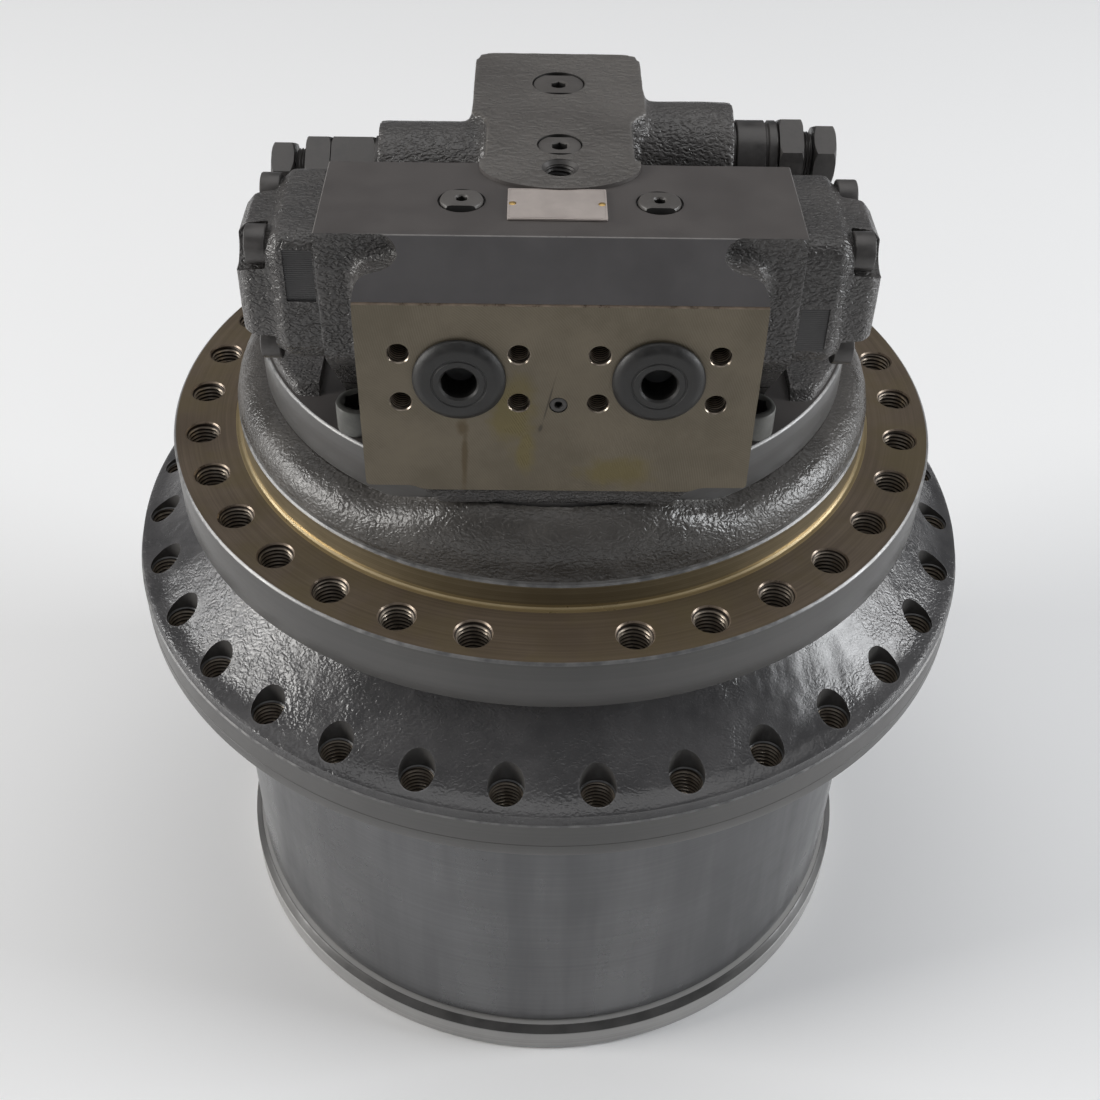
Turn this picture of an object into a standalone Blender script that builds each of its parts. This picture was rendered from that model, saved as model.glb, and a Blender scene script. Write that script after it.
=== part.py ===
# Excavator final drive: a hydraulic travel motor on a two stage planetary reduction.
# Units are metres. +Z runs up the drive axis, and the origin is the centre of the end cover's outer face.
# The motor side stands still on the track frame. The hub, ring gear and end cover turn with the sprocket.

import math

import bmesh
import bpy
from mathutils import Matrix, Vector

# Facets
SHELL_STEPS = 40
RACE_STEPS = 16
PIN_STEPS = 12
POCKET_STEPS = 8
HOLE_STEPS = 6
ARC_STEPS = 3
SHARP_ANGLE = 35.0

# Clearances
SEAT_GAP = 0.0003
CUT_OVERRUN = 0.002
JOIN_DEPTH = 0.009
RUNNING_GAP = 0.0012

# Gear teeth, shared by both stages
TOOTH_MODULE = 0.006
PRESSURE_ANGLE = 20.0
ADDENDUM_SHARE = 0.90
DEDENDUM_SHARE = 1.15
TOOTH_PLAY = 0.0003
RING_TEETH = 64
SUN_1_TEETH = 14
SUN_2_TEETH = 20
PLANETS_PER_STAGE = 3

# Ring gear drum
DRUM_WALL = 0.0239
SPROCKET_FACE_HEIGHT = 0.2805
REGISTER_WALL = 0.0181
REGISTER_DEPTH = 0.018

# End cover
COVER_THICKNESS = 0.0246
COVER_REACH = 0.0072
COVER_CHAMFER = 0.0022
COVER_REGISTER_HEIGHT = 0.0094
COVER_REGISTER_WIDTH = 0.012
COVER_DISH_RADIUS = 0.165
COVER_FLOOR = 0.014
THRUST_BOSS_RADIUS = 0.024
COVER_PLUG_CIRCLE = 0.148
COVER_PLUG_RADIUS = 0.0135
COVER_PLUG_DEPTH = 0.009
COVER_PLUG_RECESS = 0.0015
COVER_PLUG_ANGLES = (90.0, 210.0)

# Sprocket hub
HUB_FLANGE_REACH = 0.0472
HUB_FLANGE_THICKNESS = 0.0275
DRUM_SEAT_DEPTH = 0.0015
HUB_STEP_WIDTH = 0.0028
HUB_STEP_HEIGHT = 0.0045
HUB_CONE_RISE = 0.0500
HUB_CONE_RUN = 0.0530
HUB_CONE_RUN_SHARES = (0.0, 0.45, 0.70, 0.88, 1.0)
HUB_CONE_RISE_SHARES = (0.0, 0.16, 0.36, 0.62, 1.0)
SPROCKET_HOLES = 32
SPROCKET_HOLE_EDGE = 0.0165
SPROCKET_HOLE_RADIUS = 0.0102
RACE_SHOULDER_LIFT = 0.0206
RACE_SHOULDER_THICKNESS = 0.0134
RACE_SHOULDER_DEPTH = 0.008
SEAL_COUNTERBORE_STEP = 0.004
SEAL_COUNTERBORE_DEPTH = 0.018

# Main bearings
BEARING_BORE_RADIUS = 0.150
BEARING_WIDTH = 0.028
RACE_THICKNESS = 0.0102
ROLLER_SPACE = 0.0127
ROLLER_COUNT = 16
ROLLER_LOBE_SHARE = 0.40
ROLLER_WIDTH_SHARE = 0.86

# Floating seal
SEAL_RING_WIDTH = 0.0076
ROTATING_SEAL_SECTION = 0.0115
FIXED_SEAL_SECTION = 0.0135
SEAL_NECK_STEP = 0.018

# Motor casing
FRAME_FLANGE_RADIUS = 0.2354
FRAME_FLANGE_THICKNESS = 0.033
HUB_RUNNING_GAP = 0.005
FRAME_HOLE_POSITIONS = 32
FRAME_HOLES_LEFT_OUT = (0, 16)
FRAME_HOLE_EDGE = 0.0177
FRAME_HOLE_RADIUS = 0.0087
SPIGOT_RADIUS = 0.1943
SPIGOT_HEIGHT = 0.019
CROWN_HEIGHT = 0.021
CROWN_WIDTH = 0.0203
CROWN_SWEEP = 90.0
CROWN_STEPS = 3
SPINDLE_STEP = 0.010
CAVITY_RADIUS = 0.105
BRAKE_BORE_RADIUS = 0.120
BRAKE_BORE_DEPTH = 0.091
CAVITY_FLOOR_THICKNESS = 0.054
PAD_RISE = 0.0165
PAD_ROOT = 0.016
PAD_DEPTH = 0.0169
PAD_ANGLES = (-30.6, -27.0, -18.0, -9.0, 0.0, 9.0, 18.0, 27.0, 30.6)
PAD_LIFT_SHARES = (-0.25, 0.7, 1.0, 1.0, 1.0, 1.0, 1.0, 0.7, -0.25)
PAD_DEPTH_SHARES = (0.0, 0.85, 1.0, 0.82, 0.53, 0.20, 0.0)
PAD_HEIGHT_SHARES = (0.0, 0.0, 0.25, 0.62, 0.86, 1.0, 1.0)

# Rear cover, the valve block that closes the motor
REAR_FLANGE_THICKNESS = 0.028
REAR_FLANGE_REACH = 0.001
REAR_FLANGE_CHAMFER = 0.0012
REAR_STEP_HEIGHT = 0.006
REAR_STEP_INSET = 0.003
REAR_STEP_PLACE = 0.096
BLOCK_HALF_WIDTH = 0.115
BLOCK_HEIGHT = 0.132
BLOCK_FRONT = 0.154
BLOCK_BACK = 0.082
BLOCK_WALL_HEIGHT = 0.069
BLOCK_FOOT_FRONT = 0.098
BLOCK_FOOT_HEIGHT = 0.004
PORT_FACE_PLACE = 0.177
PORT_BLOCK_HALF_WIDTH = 0.097
PORT_BLOCK_RISE = 0.002
PORT_BLOCK_HEIGHT = 0.107
PORT_CORNER_CHAMFER = 0.004
PORT_LEDGE_HALF_WIDTH = 0.072
PORT_LEDGE_DROP = 0.013
PORT_LEDGE_INSET = 0.001
PORT_LEDGE_CHAMFER = 0.012
SHOULDER_RUN_SHARES = (0.0, 0.10, 0.22, 0.44, 0.70, 0.97, 1.0, 0.83, 0.77)
SHOULDER_DROP_SHARES = (1.0, 0.91, 0.76, 0.64, 0.55, 0.40, 0.22, 0.08, 0.0)
SHOULDER_RUN = 0.030
SHOULDER_SIDE = 0.020

# Ports, in the common split flange pattern
PORT_SPACING = 0.0957
PORT_HEIGHT = 0.068
PORT_BORE_RADIUS = 0.0127
PORT_BORE_DEPTH = 0.030
PORT_BOLT_SPAN = 0.0572
PORT_BOLT_RISE = 0.0278
PORT_BOLT_RADIUS = 0.0052
PORT_BOLT_DEPTH = 0.020
PORT_PLUG_RADIUS = 0.0225
PORT_PLUG_CROWN = 0.0045
PORT_PLUG_RIM_SHARE = 0.82
PORT_PLUG_RECESS_RADIUS = 0.0085
PORT_PLUG_RECESS_DEPTH = 0.016
PORT_PLUG_LENGTH = 0.022
TEST_PLUG_HEIGHT = 0.053
TEST_PLUG_RADIUS = 0.0042
TEST_PLUG_DEPTH = 0.009

# Central tower behind the ports
TOWER_RISE = 0.002
TOWER_HEAD_HALF_WIDTH = 0.046
TOWER_STEM_HALF_WIDTH = 0.038
TOWER_BACK = 0.050
TOWER_NECK = -0.028
TOWER_NECK_RUN = 0.008
TOWER_STEM_SIDE_END = -0.086
TOWER_NOSE = -0.109
TOWER_CORNER = 0.010
TOWER_EDGE = 0.003
TOWER_NOSE_STEPS = 8
MAIN_GALLERY_PLACE = 0.0085
MAIN_GALLERY_RADIUS = 0.0140
SMALL_GALLERY_PLACE = -0.0645
SMALL_GALLERY_RADIUS = 0.0113
EYE_HOLE_PLACE = -0.0895
EYE_HOLE_RADIUS = 0.0076
EYE_HOLE_DEPTH = 0.024
GALLERY_PLUG_DEPTH = 0.012
GALLERY_PLUG_SINK = 0.0006

# Check valve plugs on the machined top
CHECK_PLUG_PLACE_X = 0.0474
CHECK_PLUG_PLACE_Y = 0.121
CHECK_PLUG_RADIUS = 0.0104
CHECK_PLUG_FLAT_SHARE = 0.86
CHECK_PLUG_PROUD = 0.0016
CHECK_PLUG_DEPTH = 0.010

# Blank nameplate
PLATE_WIDTH = 0.0474
PLATE_DEPTH = 0.0295
PLATE_THICKNESS = 0.0010
PLATE_PLACE_X = -0.0017
PLATE_PLACE_Y = 0.1250

# Crossover relief valves
RELIEF_HEIGHT = 0.102
RELIEF_LEFT_PLACE = -0.0370
RELIEF_RIGHT_PLACE = -0.0090
RELIEF_BOSS_RADIUS = 0.028
RELIEF_BOSS_END = 0.094
RELIEF_BOSS_EDGE = 0.004
RELIEF_BOSS_STEPS = 8
RELIEF_BORE_RADIUS = 0.0130
RELIEF_BORE_DEPTH = 0.022
RELIEF_COLLAR_WIDTH = 0.002
RELIEF_BODY_LENGTH = 0.0230
RELIEF_BODY_RADIUS = 0.0212
RELIEF_ROUND_RADIUS = 0.0185
RELIEF_NUT_LENGTH = 0.0130
RELIEF_NUT_RADIUS = 0.0212
RELIEF_THREAD_LENGTH = 0.0060
RELIEF_THREAD_RADIUS = 0.0132
RELIEF_CAP_LENGTH = 0.0120
RELIEF_CAP_RADIUS = 0.0176
HEX_CHAMFER_SHARE = 0.10
HEX_SIDES = 6

# Spool end caps
CAP_LENGTH = 0.040
CAP_FRONT = 0.152
CAP_BACK = 0.074
CAP_TOP = 0.128
CAP_SHOULDER = 0.063
CAP_BOTTOM = 0.042
CAP_SLOPE_RUN = 0.030
CAP_CORNER = 0.012
CAP_LOFT_SHARES = ((0.0, 1.0), (0.46, 1.0), (0.56, 0.91), (0.88, 0.87), (1.0, 0.74))
CAP_BOLT_PLACES = ((0.138, 0.117), (0.130, 0.062), (0.086, 0.117), (0.090, 0.058))
CAP_BOLT_POCKET_RADIUS = 0.0125
CAP_BOLT_SEAT = 0.024
SPOOL_PLACE = 0.118
SPOOL_HEIGHT = 0.092
SPOOL_RADIUS = 0.014
SPOOL_OVERHANG = 0.004
SPOOL_GROOVE_DEPTH = 0.004
SPOOL_GROOVE_SHARES = (0.26, 0.44, 0.56, 0.74)
SPRING_CHAMBER_RADIUS = 0.019
SPRING_CHAMBER_DEPTH = 0.022

# Rear cover screws
COVER_SCREW_PLACE_X = 0.105
COVER_SCREW_PLACE_Y = 0.124
COVER_SCREW_RADIUS = 0.008
COVER_SCREW_HEAD_RADIUS = 0.012
COVER_SCREW_HEAD_HEIGHT = 0.016
COVER_SCREW_LENGTH = 0.055

# Planetary stages, from the end cover up
STAGE_1_LIFT = 0.0226
STAGE_1_WIDTH = 0.038
CARRIER_1_THICKNESS = 0.016
STAGE_CLEARANCE = 0.0004
STAGE_2_LIFT = 0.0136
STAGE_2_WIDTH = 0.064
CARRIER_2_THICKNESS = 0.026
CARRIER_RIM = 0.012
PIN_1_RADIUS = 0.020
PIN_2_RADIUS = 0.026
SUN_2_BORE_RADIUS = 0.030
SHAFT_RADIUS = 0.022
SHAFT_BEARING_WIDTH = 0.020
SHAFT_BEARING_RADIUS = 0.045
COLLAR_THICKNESS = 0.021

# Axial piston motor and parking brake
SWASH_RADIUS = 0.088
SWASH_THICKNESS = 0.024
SWASH_BORE_RADIUS = 0.042
SWASH_TILT = 15.0
SWASH_CENTRE_LIFT = 0.040
TRUNNION_RADIUS = 0.010
CYLINDER_BLOCK_RADIUS = 0.080
CYLINDER_BLOCK_LENGTH = 0.082
CYLINDER_COUNT = 9
CYLINDER_CIRCLE = 0.055
CYLINDER_RADIUS = 0.011
CYLINDER_DEPTH = 0.060
VALVE_PLATE_THICKNESS = 0.008
VALVE_PLATE_RADIUS = 0.075
BRAKE_DISC_THICKNESS = 0.003
BRAKE_DISC_REACH = 0.034
BRAKE_PISTON_HEIGHT = 0.036
BRAKE_PISTON_WALL = 0.026

# Heights and radii that follow from the sizes above
RING_PITCH_RADIUS = TOOTH_MODULE * RING_TEETH / 2
RING_TIP_RADIUS = RING_PITCH_RADIUS - TOOTH_MODULE * ADDENDUM_SHARE
RING_ROOT_RADIUS = RING_PITCH_RADIUS + TOOTH_MODULE * DEDENDUM_SHARE
PLANET_1_TEETH = (RING_TEETH - SUN_1_TEETH) // 2
PLANET_2_TEETH = (RING_TEETH - SUN_2_TEETH) // 2
PLANET_1_CIRCLE = TOOTH_MODULE * (SUN_1_TEETH + PLANET_1_TEETH) / 2
PLANET_2_CIRCLE = TOOTH_MODULE * (SUN_2_TEETH + PLANET_2_TEETH) / 2
DRUM_RADIUS = RING_ROOT_RADIUS + DRUM_WALL
COVER_RADIUS = DRUM_RADIUS + COVER_REACH
SPROCKET_FLANGE_RADIUS = DRUM_RADIUS + HUB_FLANGE_REACH
SPROCKET_HOLE_CIRCLE = SPROCKET_FLANGE_RADIUS - SPROCKET_HOLE_EDGE
REGISTER_RADIUS = DRUM_RADIUS - REGISTER_WALL

RING_BASE = COVER_THICKNESS + SEAT_GAP
DRUM_SEAT = SPROCKET_FACE_HEIGHT + DRUM_SEAT_DEPTH
RING_TOP = DRUM_SEAT - SEAT_GAP
REGISTER_FLOOR = RING_TOP - REGISTER_DEPTH
HUB_FLANGE_BASE = SPROCKET_FACE_HEIGHT
HUB_FLANGE_TOP = HUB_FLANGE_BASE + HUB_FLANGE_THICKNESS
HUB_TOP = HUB_FLANGE_TOP + HUB_CONE_RISE
FRAME_FLANGE_BASE = HUB_TOP + HUB_RUNNING_GAP
FRAME_FLANGE_TOP = FRAME_FLANGE_BASE + FRAME_FLANGE_THICKNESS
SPIGOT_TOP = FRAME_FLANGE_TOP + SPIGOT_HEIGHT
CASING_TOP = SPIGOT_TOP + CROWN_HEIGHT
CASING_TOP_RADIUS = SPIGOT_RADIUS - CROWN_WIDTH
FRAME_HOLE_CIRCLE = FRAME_FLANGE_RADIUS - FRAME_HOLE_EDGE
REAR_BASE = CASING_TOP + SEAT_GAP
REAR_TOP = CASING_TOP + REAR_FLANGE_THICKNESS
REAR_RADIUS = CASING_TOP_RADIUS + REAR_FLANGE_REACH
BLOCK_TOP = REAR_TOP + BLOCK_HEIGHT
TOWER_TOP = BLOCK_TOP + TOWER_RISE

BEARING_INNER_FACE = BEARING_BORE_RADIUS + SEAT_GAP
INNER_RACE_OUTSIDE = BEARING_INNER_FACE + RACE_THICKNESS
OUTER_RACE_INSIDE = INNER_RACE_OUTSIDE + ROLLER_SPACE
BEARING_OUTSIDE = OUTER_RACE_INSIDE + RACE_THICKNESS
HUB_BORE = BEARING_OUTSIDE + SEAT_GAP
RACE_SHOULDER_MIDDLE = HUB_FLANGE_BASE + RACE_SHOULDER_LIFT
LOWER_BEARING_TOP = RACE_SHOULDER_MIDDLE - RACE_SHOULDER_THICKNESS / 2 - SEAT_GAP
LOWER_BEARING_BASE = LOWER_BEARING_TOP - BEARING_WIDTH
UPPER_BEARING_BASE = RACE_SHOULDER_MIDDLE + RACE_SHOULDER_THICKNESS / 2 + SEAT_GAP
UPPER_BEARING_TOP = UPPER_BEARING_BASE + BEARING_WIDTH
SEAL_COUNTERBORE = HUB_BORE + SEAL_COUNTERBORE_STEP
SEAL_FLOOR = HUB_TOP - SEAL_COUNTERBORE_DEPTH
SEAL_NECK_RADIUS = BEARING_BORE_RADIUS + SEAL_NECK_STEP

STAGE_1_BASE = RING_BASE + STAGE_1_LIFT
STAGE_1_TOP = STAGE_1_BASE + STAGE_1_WIDTH
CARRIER_1_BASE = STAGE_1_TOP + STAGE_CLEARANCE
CARRIER_1_TOP = CARRIER_1_BASE + CARRIER_1_THICKNESS
STAGE_2_BASE = CARRIER_1_TOP + STAGE_2_LIFT
STAGE_2_TOP = STAGE_2_BASE + STAGE_2_WIDTH
CARRIER_2_BASE = STAGE_2_TOP + STAGE_CLEARANCE
CARRIER_2_TOP = CARRIER_2_BASE + CARRIER_2_THICKNESS
SPINDLE_BASE = CARRIER_2_TOP + SEAT_GAP
SPINDLE_RADIUS = BEARING_BORE_RADIUS - SPINDLE_STEP
COLLAR_RADIUS = SPINDLE_RADIUS + SEAT_GAP + COLLAR_THICKNESS
CAVITY_FLOOR = SPINDLE_BASE + CAVITY_FLOOR_THICKNESS
BRAKE_SHOULDER = CASING_TOP - BRAKE_BORE_DEPTH
SHAFT_BASE = STAGE_1_BASE - STAGE_CLEARANCE
VALVE_PLATE_BASE = CASING_TOP - VALVE_PLATE_THICKNESS
BLOCK_TOP_FACE = VALVE_PLATE_BASE - SEAT_GAP
BLOCK_BASE_FACE = BLOCK_TOP_FACE - CYLINDER_BLOCK_LENGTH

SPOOL_Z = REAR_TOP + SPOOL_HEIGHT
RELIEF_Z = REAR_TOP + RELIEF_HEIGHT
PORT_Z = REAR_TOP + PORT_HEIGHT

# Colours as red, green, blue, then roughness and metallic share
FINISHES = {
    "grey_paint": ((0.055, 0.055, 0.060), 0.45, 0.0),
    "cast_paint": ((0.050, 0.050, 0.055), 0.50, 0.0),
    "machined_steel": ((0.16, 0.13, 0.10), 0.38, 0.9),
    "satin_steel": ((0.20, 0.20, 0.21), 0.35, 0.9),
    "gear_steel": ((0.30, 0.30, 0.31), 0.30, 0.9),
    "bearing_steel": ((0.45, 0.45, 0.46), 0.22, 1.0),
    "black_oxide": ((0.045, 0.045, 0.045), 0.45, 0.6),
    "black_rubber": ((0.02, 0.02, 0.02), 0.60, 0.0),
    "plain_plate": ((0.35, 0.30, 0.29), 0.50, 0.3),
    "bronze": ((0.45, 0.28, 0.12), 0.35, 0.9),
}


def clear_scene():
    for item in list(bpy.data.objects):
        bpy.data.objects.remove(item, do_unlink=True)


def finish(name):
    found = bpy.data.materials.get(name)
    if found:
        return found
    colour, roughness, metallic = FINISHES[name]
    made = bpy.data.materials.new(name)
    made.use_nodes = True
    shader = made.node_tree.nodes["Principled BSDF"]
    shader.inputs["Base Color"].default_value = (*colour, 1.0)
    shader.inputs["Roughness"].default_value = roughness
    shader.inputs["Metallic"].default_value = metallic
    return made


def place(name, work, look):
    # Turn a bmesh into a named object with outward faces and smooth round walls.
    bmesh.ops.recalc_face_normals(work, faces=work.faces[:])
    mesh = bpy.data.meshes.new(name)
    work.to_mesh(mesh)
    work.free()
    mesh.shade_smooth()
    mesh.set_sharp_from_angle(angle=math.radians(SHARP_ANGLE))
    mesh.materials.append(finish(look))
    item = bpy.data.objects.new(name, mesh)
    bpy.context.collection.objects.link(item)
    return item


def helper(name, work):
    # A shape that only joins or cuts another one.
    item = place(name, work, "cast_paint")
    item.hide_render = True
    item.display_type = 'WIRE'
    return item


def combine(target, tool, operation):
    step = target.modifiers.new(f"{operation.title()} {tool.name}", 'BOOLEAN')
    step.operation = operation
    step.solver = 'EXACT'
    step.object = tool


def cut(target, tool):
    combine(target, tool, 'DIFFERENCE')


def join(target, tool):
    combine(target, tool, 'UNION')


def ring_angles(count, start=0.0):
    return [start + math.tau * index / count for index in range(count)]


def add_turned(work, outline, steps, centre=(0.0, 0.0)):
    # Sweep a closed outline of (radius, height) pairs once round +Z. A point on the axis closes a flat end.
    rings = []
    for radius, height in outline:
        if radius <= 0:
            rings.append([])
            continue
        rings.append([
            work.verts.new((centre[0] + radius * math.cos(a), centre[1] + radius * math.sin(a), height))
            for a in ring_angles(steps)
        ])
    for one, two in zip(rings, rings[1:] + rings[:1]):
        if one and two:
            for index in range(steps):
                after = (index + 1) % steps
                work.faces.new((one[index], one[after], two[after], two[index]))
        elif one or two:
            work.faces.new(one or two)


def turned(outline, steps=SHELL_STEPS):
    work = bmesh.new()
    add_turned(work, outline, steps)
    return work


def tube_outline(inside, outside, base, top):
    return [(outside, top), (outside, base), (inside, base), (inside, top)]


def rod_outline(radius, base, top):
    return [(0, top), (radius, top), (radius, base), (0, base)]


def add_prism(work, loops, base, top):
    # Extrude an outline, and any hole outlines after it, from one height to another.
    edges = []
    for loop in loops:
        lower = [work.verts.new((x, y, base)) for x, y in loop]
        for one, two in zip(lower, lower[1:] + lower[:1]):
            edges.append(work.edges.new((one, two)))
    if len(loops) == 1:
        flat = [work.faces.new([edge.verts[0] for edge in edges])]
    else:
        filled = bmesh.ops.triangle_fill(work, edges=edges, use_beauty=True, use_dissolve=False)
        flat = [piece for piece in filled["geom"] if isinstance(piece, bmesh.types.BMFace)]
    raised = bmesh.ops.extrude_face_region(work, geom=flat, use_keep_orig=True)["geom"]
    moved = [piece for piece in raised if isinstance(piece, bmesh.types.BMVert)]
    bmesh.ops.translate(work, verts=moved, vec=(0, 0, top - base))


def prism(loops, base, top):
    work = bmesh.new()
    add_prism(work, loops, base, top)
    return work


def along_x(work):
    # Turn a prism made of (y, z) outlines so that its height runs along X.
    turn = Matrix(((0, 0, 1), (1, 0, 0), (0, 1, 0))).to_4x4()
    bmesh.ops.transform(work, matrix=turn, verts=work.verts[:])
    return work


def along_y(work):
    # Turn a prism made of (x, z) outlines so that its height runs along Y.
    turn = Matrix(((1, 0, 0), (0, 0, 1), (0, 1, 0))).to_4x4()
    bmesh.ops.transform(work, matrix=turn, verts=work.verts[:])
    return work


def circle(radius, steps, centre=(0.0, 0.0), start=0.0):
    return [
        (centre[0] + radius * math.cos(a), centre[1] + radius * math.sin(a))
        for a in ring_angles(steps, start)
    ]


def rounded(points, radius, steps=ARC_STEPS):
    # Replace each corner of a closed outline with a short arc.
    soft = []
    count = len(points)
    for index in range(count):
        before = Vector(points[index - 1])
        corner = Vector(points[index])
        after = Vector(points[(index + 1) % count])
        back = (before - corner).normalized()
        ahead = (after - corner).normalized()
        half = back.angle(ahead) / 2
        reach = min(radius / math.tan(half), (before - corner).length / 2, (after - corner).length / 2)
        first = corner + back * reach
        last = corner + ahead * reach
        for step in range(steps + 1):
            share = step / steps
            low = first.lerp(corner, share)
            high = corner.lerp(last, share)
            soft.append(tuple(low.lerp(high, share)))
    return soft


def involute(angle):
    return math.tan(angle) - angle


def flank_half_angle(teeth, radius, play):
    # Half the angle that a tooth takes up at one radius, with its flank moved in by the play.
    pressure = math.radians(PRESSURE_ANGLE)
    base = TOOTH_MODULE * teeth / 2 * math.cos(pressure)
    here = math.acos(min(base / radius, 1.0))
    return math.pi / (2 * teeth) + involute(pressure) - involute(here) - play / radius


def gear_outline(teeth, root, tip, play, turn=0.0):
    # One tooth points along the turn angle. The ring's tooth spaces use the same outline, with the play reversed.
    outline = []
    for middle in ring_angles(teeth, turn):
        low = flank_half_angle(teeth, root, play)
        high = flank_half_angle(teeth, tip, play)
        for radius, angle in ((root, -low), (tip, -high), (tip, high), (root, low)):
            outline.append((radius * math.cos(middle + angle), radius * math.sin(middle + angle)))
    return outline


def external_gear(teeth, turn=0.0):
    pitch = TOOTH_MODULE * teeth / 2
    root = pitch - TOOTH_MODULE * DEDENDUM_SHARE
    tip = pitch + TOOTH_MODULE * ADDENDUM_SHARE
    return gear_outline(teeth, root, tip, TOOTH_PLAY, turn)


def hole_set(name, places, radius, base, top, steps=HOLE_STEPS):
    # Straight holes along Z as one cutter, each with a flat side towards the axis.
    work = bmesh.new()
    for x, y in places:
        facing = math.atan2(y, x) + math.pi / steps
        add_prism(work, [circle(radius, steps, (x, y), facing)], base, top)
    return helper(name, work)


def circle_places(radius, count, left_out=(), half_step=False):
    # Bolt places round the axis, counted from the front, or from half a step past it.
    start = math.pi / count if half_step else 0.0
    places = []
    for index, angle in enumerate(ring_angles(count, start - math.pi / 2)):
        if index not in left_out:
            places.append((radius * math.cos(angle), radius * math.sin(angle)))
    return places


# The turning housing

def build_end_cover():
    register = RING_TIP_RADIUS - SEAT_GAP * 2
    register_top = COVER_THICKNESS + COVER_REGISTER_HEIGHT
    boss_top = SHAFT_BASE - SEAT_GAP
    outline = [
        (0, COVER_THICKNESS),
        (COVER_RADIUS, COVER_THICKNESS),
        (COVER_RADIUS, COVER_CHAMFER),
        (COVER_RADIUS - COVER_CHAMFER, 0),
        (0, 0),
    ]
    cover = place("end_cover", turned(outline), "satin_steel")
    rim = tube_outline(register - COVER_REGISTER_WIDTH, register, COVER_THICKNESS - CUT_OVERRUN, register_top)
    join(cover, helper("join_cover_register", turned(rim, RACE_STEPS)))
    dish = [
        (THRUST_BOSS_RADIUS, COVER_THICKNESS + CUT_OVERRUN),
        (THRUST_BOSS_RADIUS, COVER_FLOOR),
        (COVER_DISH_RADIUS, COVER_FLOOR),
        (COVER_DISH_RADIUS, COVER_THICKNESS + CUT_OVERRUN),
    ]
    cut(cover, helper("cut_cover_dish", turned(dish, RACE_STEPS)))
    boss = rod_outline(THRUST_BOSS_RADIUS, COVER_FLOOR - CUT_OVERRUN, boss_top)
    join(cover, helper("join_thrust_boss", turned(boss, RACE_STEPS)))
    places = [
        (COVER_PLUG_CIRCLE * math.cos(math.radians(a)), COVER_PLUG_CIRCLE * math.sin(math.radians(a)))
        for a in COVER_PLUG_ANGLES
    ]
    seat = COVER_PLUG_RECESS + COVER_PLUG_DEPTH + SEAT_GAP
    work = bmesh.new()
    for spot in places:
        add_prism(work, [circle(COVER_PLUG_RADIUS + SEAT_GAP, PIN_STEPS, spot)], -CUT_OVERRUN, seat)
    cut(cover, helper("cut_cover_plugs", work))
    for name, spot in zip(("drain_plug", "level_plug"), places):
        outline = circle(COVER_PLUG_RADIUS, PIN_STEPS, spot)
        place(name, prism([outline], COVER_PLUG_RECESS, seat - SEAT_GAP), "black_oxide")


def build_ring_gear():
    outline = [
        (0, RING_BASE),
        (DRUM_RADIUS, RING_BASE),
        (DRUM_RADIUS, RING_TOP),
        (REGISTER_RADIUS, RING_TOP),
        (REGISTER_RADIUS, REGISTER_FLOOR),
        (0, REGISTER_FLOOR),
    ]
    ring = place("ring_gear", turned(outline), "satin_steel")
    spaces = gear_outline(RING_TEETH, RING_TIP_RADIUS, RING_ROOT_RADIUS, -TOOTH_PLAY)
    cut(ring, helper("cut_ring_teeth", prism([spaces], RING_BASE - CUT_OVERRUN, REGISTER_FLOOR + CUT_OVERRUN)))


def build_sprocket_hub():
    step_radius = SPROCKET_FLANGE_RADIUS - HUB_STEP_WIDTH
    cone_base = HUB_FLANGE_TOP + HUB_STEP_HEIGHT
    cone = [
        (step_radius - run * HUB_CONE_RUN, cone_base + rise * (HUB_TOP - cone_base))
        for run, rise in zip(HUB_CONE_RUN_SHARES, HUB_CONE_RISE_SHARES)
    ]
    spigot = REGISTER_RADIUS - SEAT_GAP
    recess = DRUM_RADIUS + SEAT_GAP * 2
    spigot_base = REGISTER_FLOOR + SEAT_GAP
    shoulder = HUB_BORE - RACE_SHOULDER_DEPTH
    shoulder_base = LOWER_BEARING_TOP + SEAT_GAP
    shoulder_top = UPPER_BEARING_BASE - SEAT_GAP
    outline = [
        (0, spigot_base),
        (spigot, spigot_base),
        (spigot, DRUM_SEAT),
        (recess, DRUM_SEAT),
        (recess, HUB_FLANGE_BASE),
        (SPROCKET_FLANGE_RADIUS, HUB_FLANGE_BASE),
        (SPROCKET_FLANGE_RADIUS, HUB_FLANGE_TOP),
        *cone,
        (0, HUB_TOP),
    ]
    hub = place("sprocket_hub", turned(outline), "cast_paint")
    bore = [
        (0, spigot_base - CUT_OVERRUN),
        (HUB_BORE, spigot_base - CUT_OVERRUN),
        (HUB_BORE, shoulder_base),
        (shoulder, shoulder_base),
        (shoulder, shoulder_top),
        (HUB_BORE, shoulder_top),
        (HUB_BORE, SEAL_FLOOR),
        (SEAL_COUNTERBORE, SEAL_FLOOR),
        (SEAL_COUNTERBORE, HUB_TOP + CUT_OVERRUN),
        (0, HUB_TOP + CUT_OVERRUN),
    ]
    cut(hub, helper("cut_hub_bore", turned(bore, RACE_STEPS)))
    # The tapped holes run up through the foot of the cone, which leaves a tall scallop above each one.
    holes = circle_places(SPROCKET_HOLE_CIRCLE, SPROCKET_HOLES, half_step=True)
    base = HUB_FLANGE_BASE - CUT_OVERRUN
    cut(hub, hole_set("cut_hub_holes", holes, SPROCKET_HOLE_RADIUS, base, HUB_TOP, POCKET_STEPS))


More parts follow.
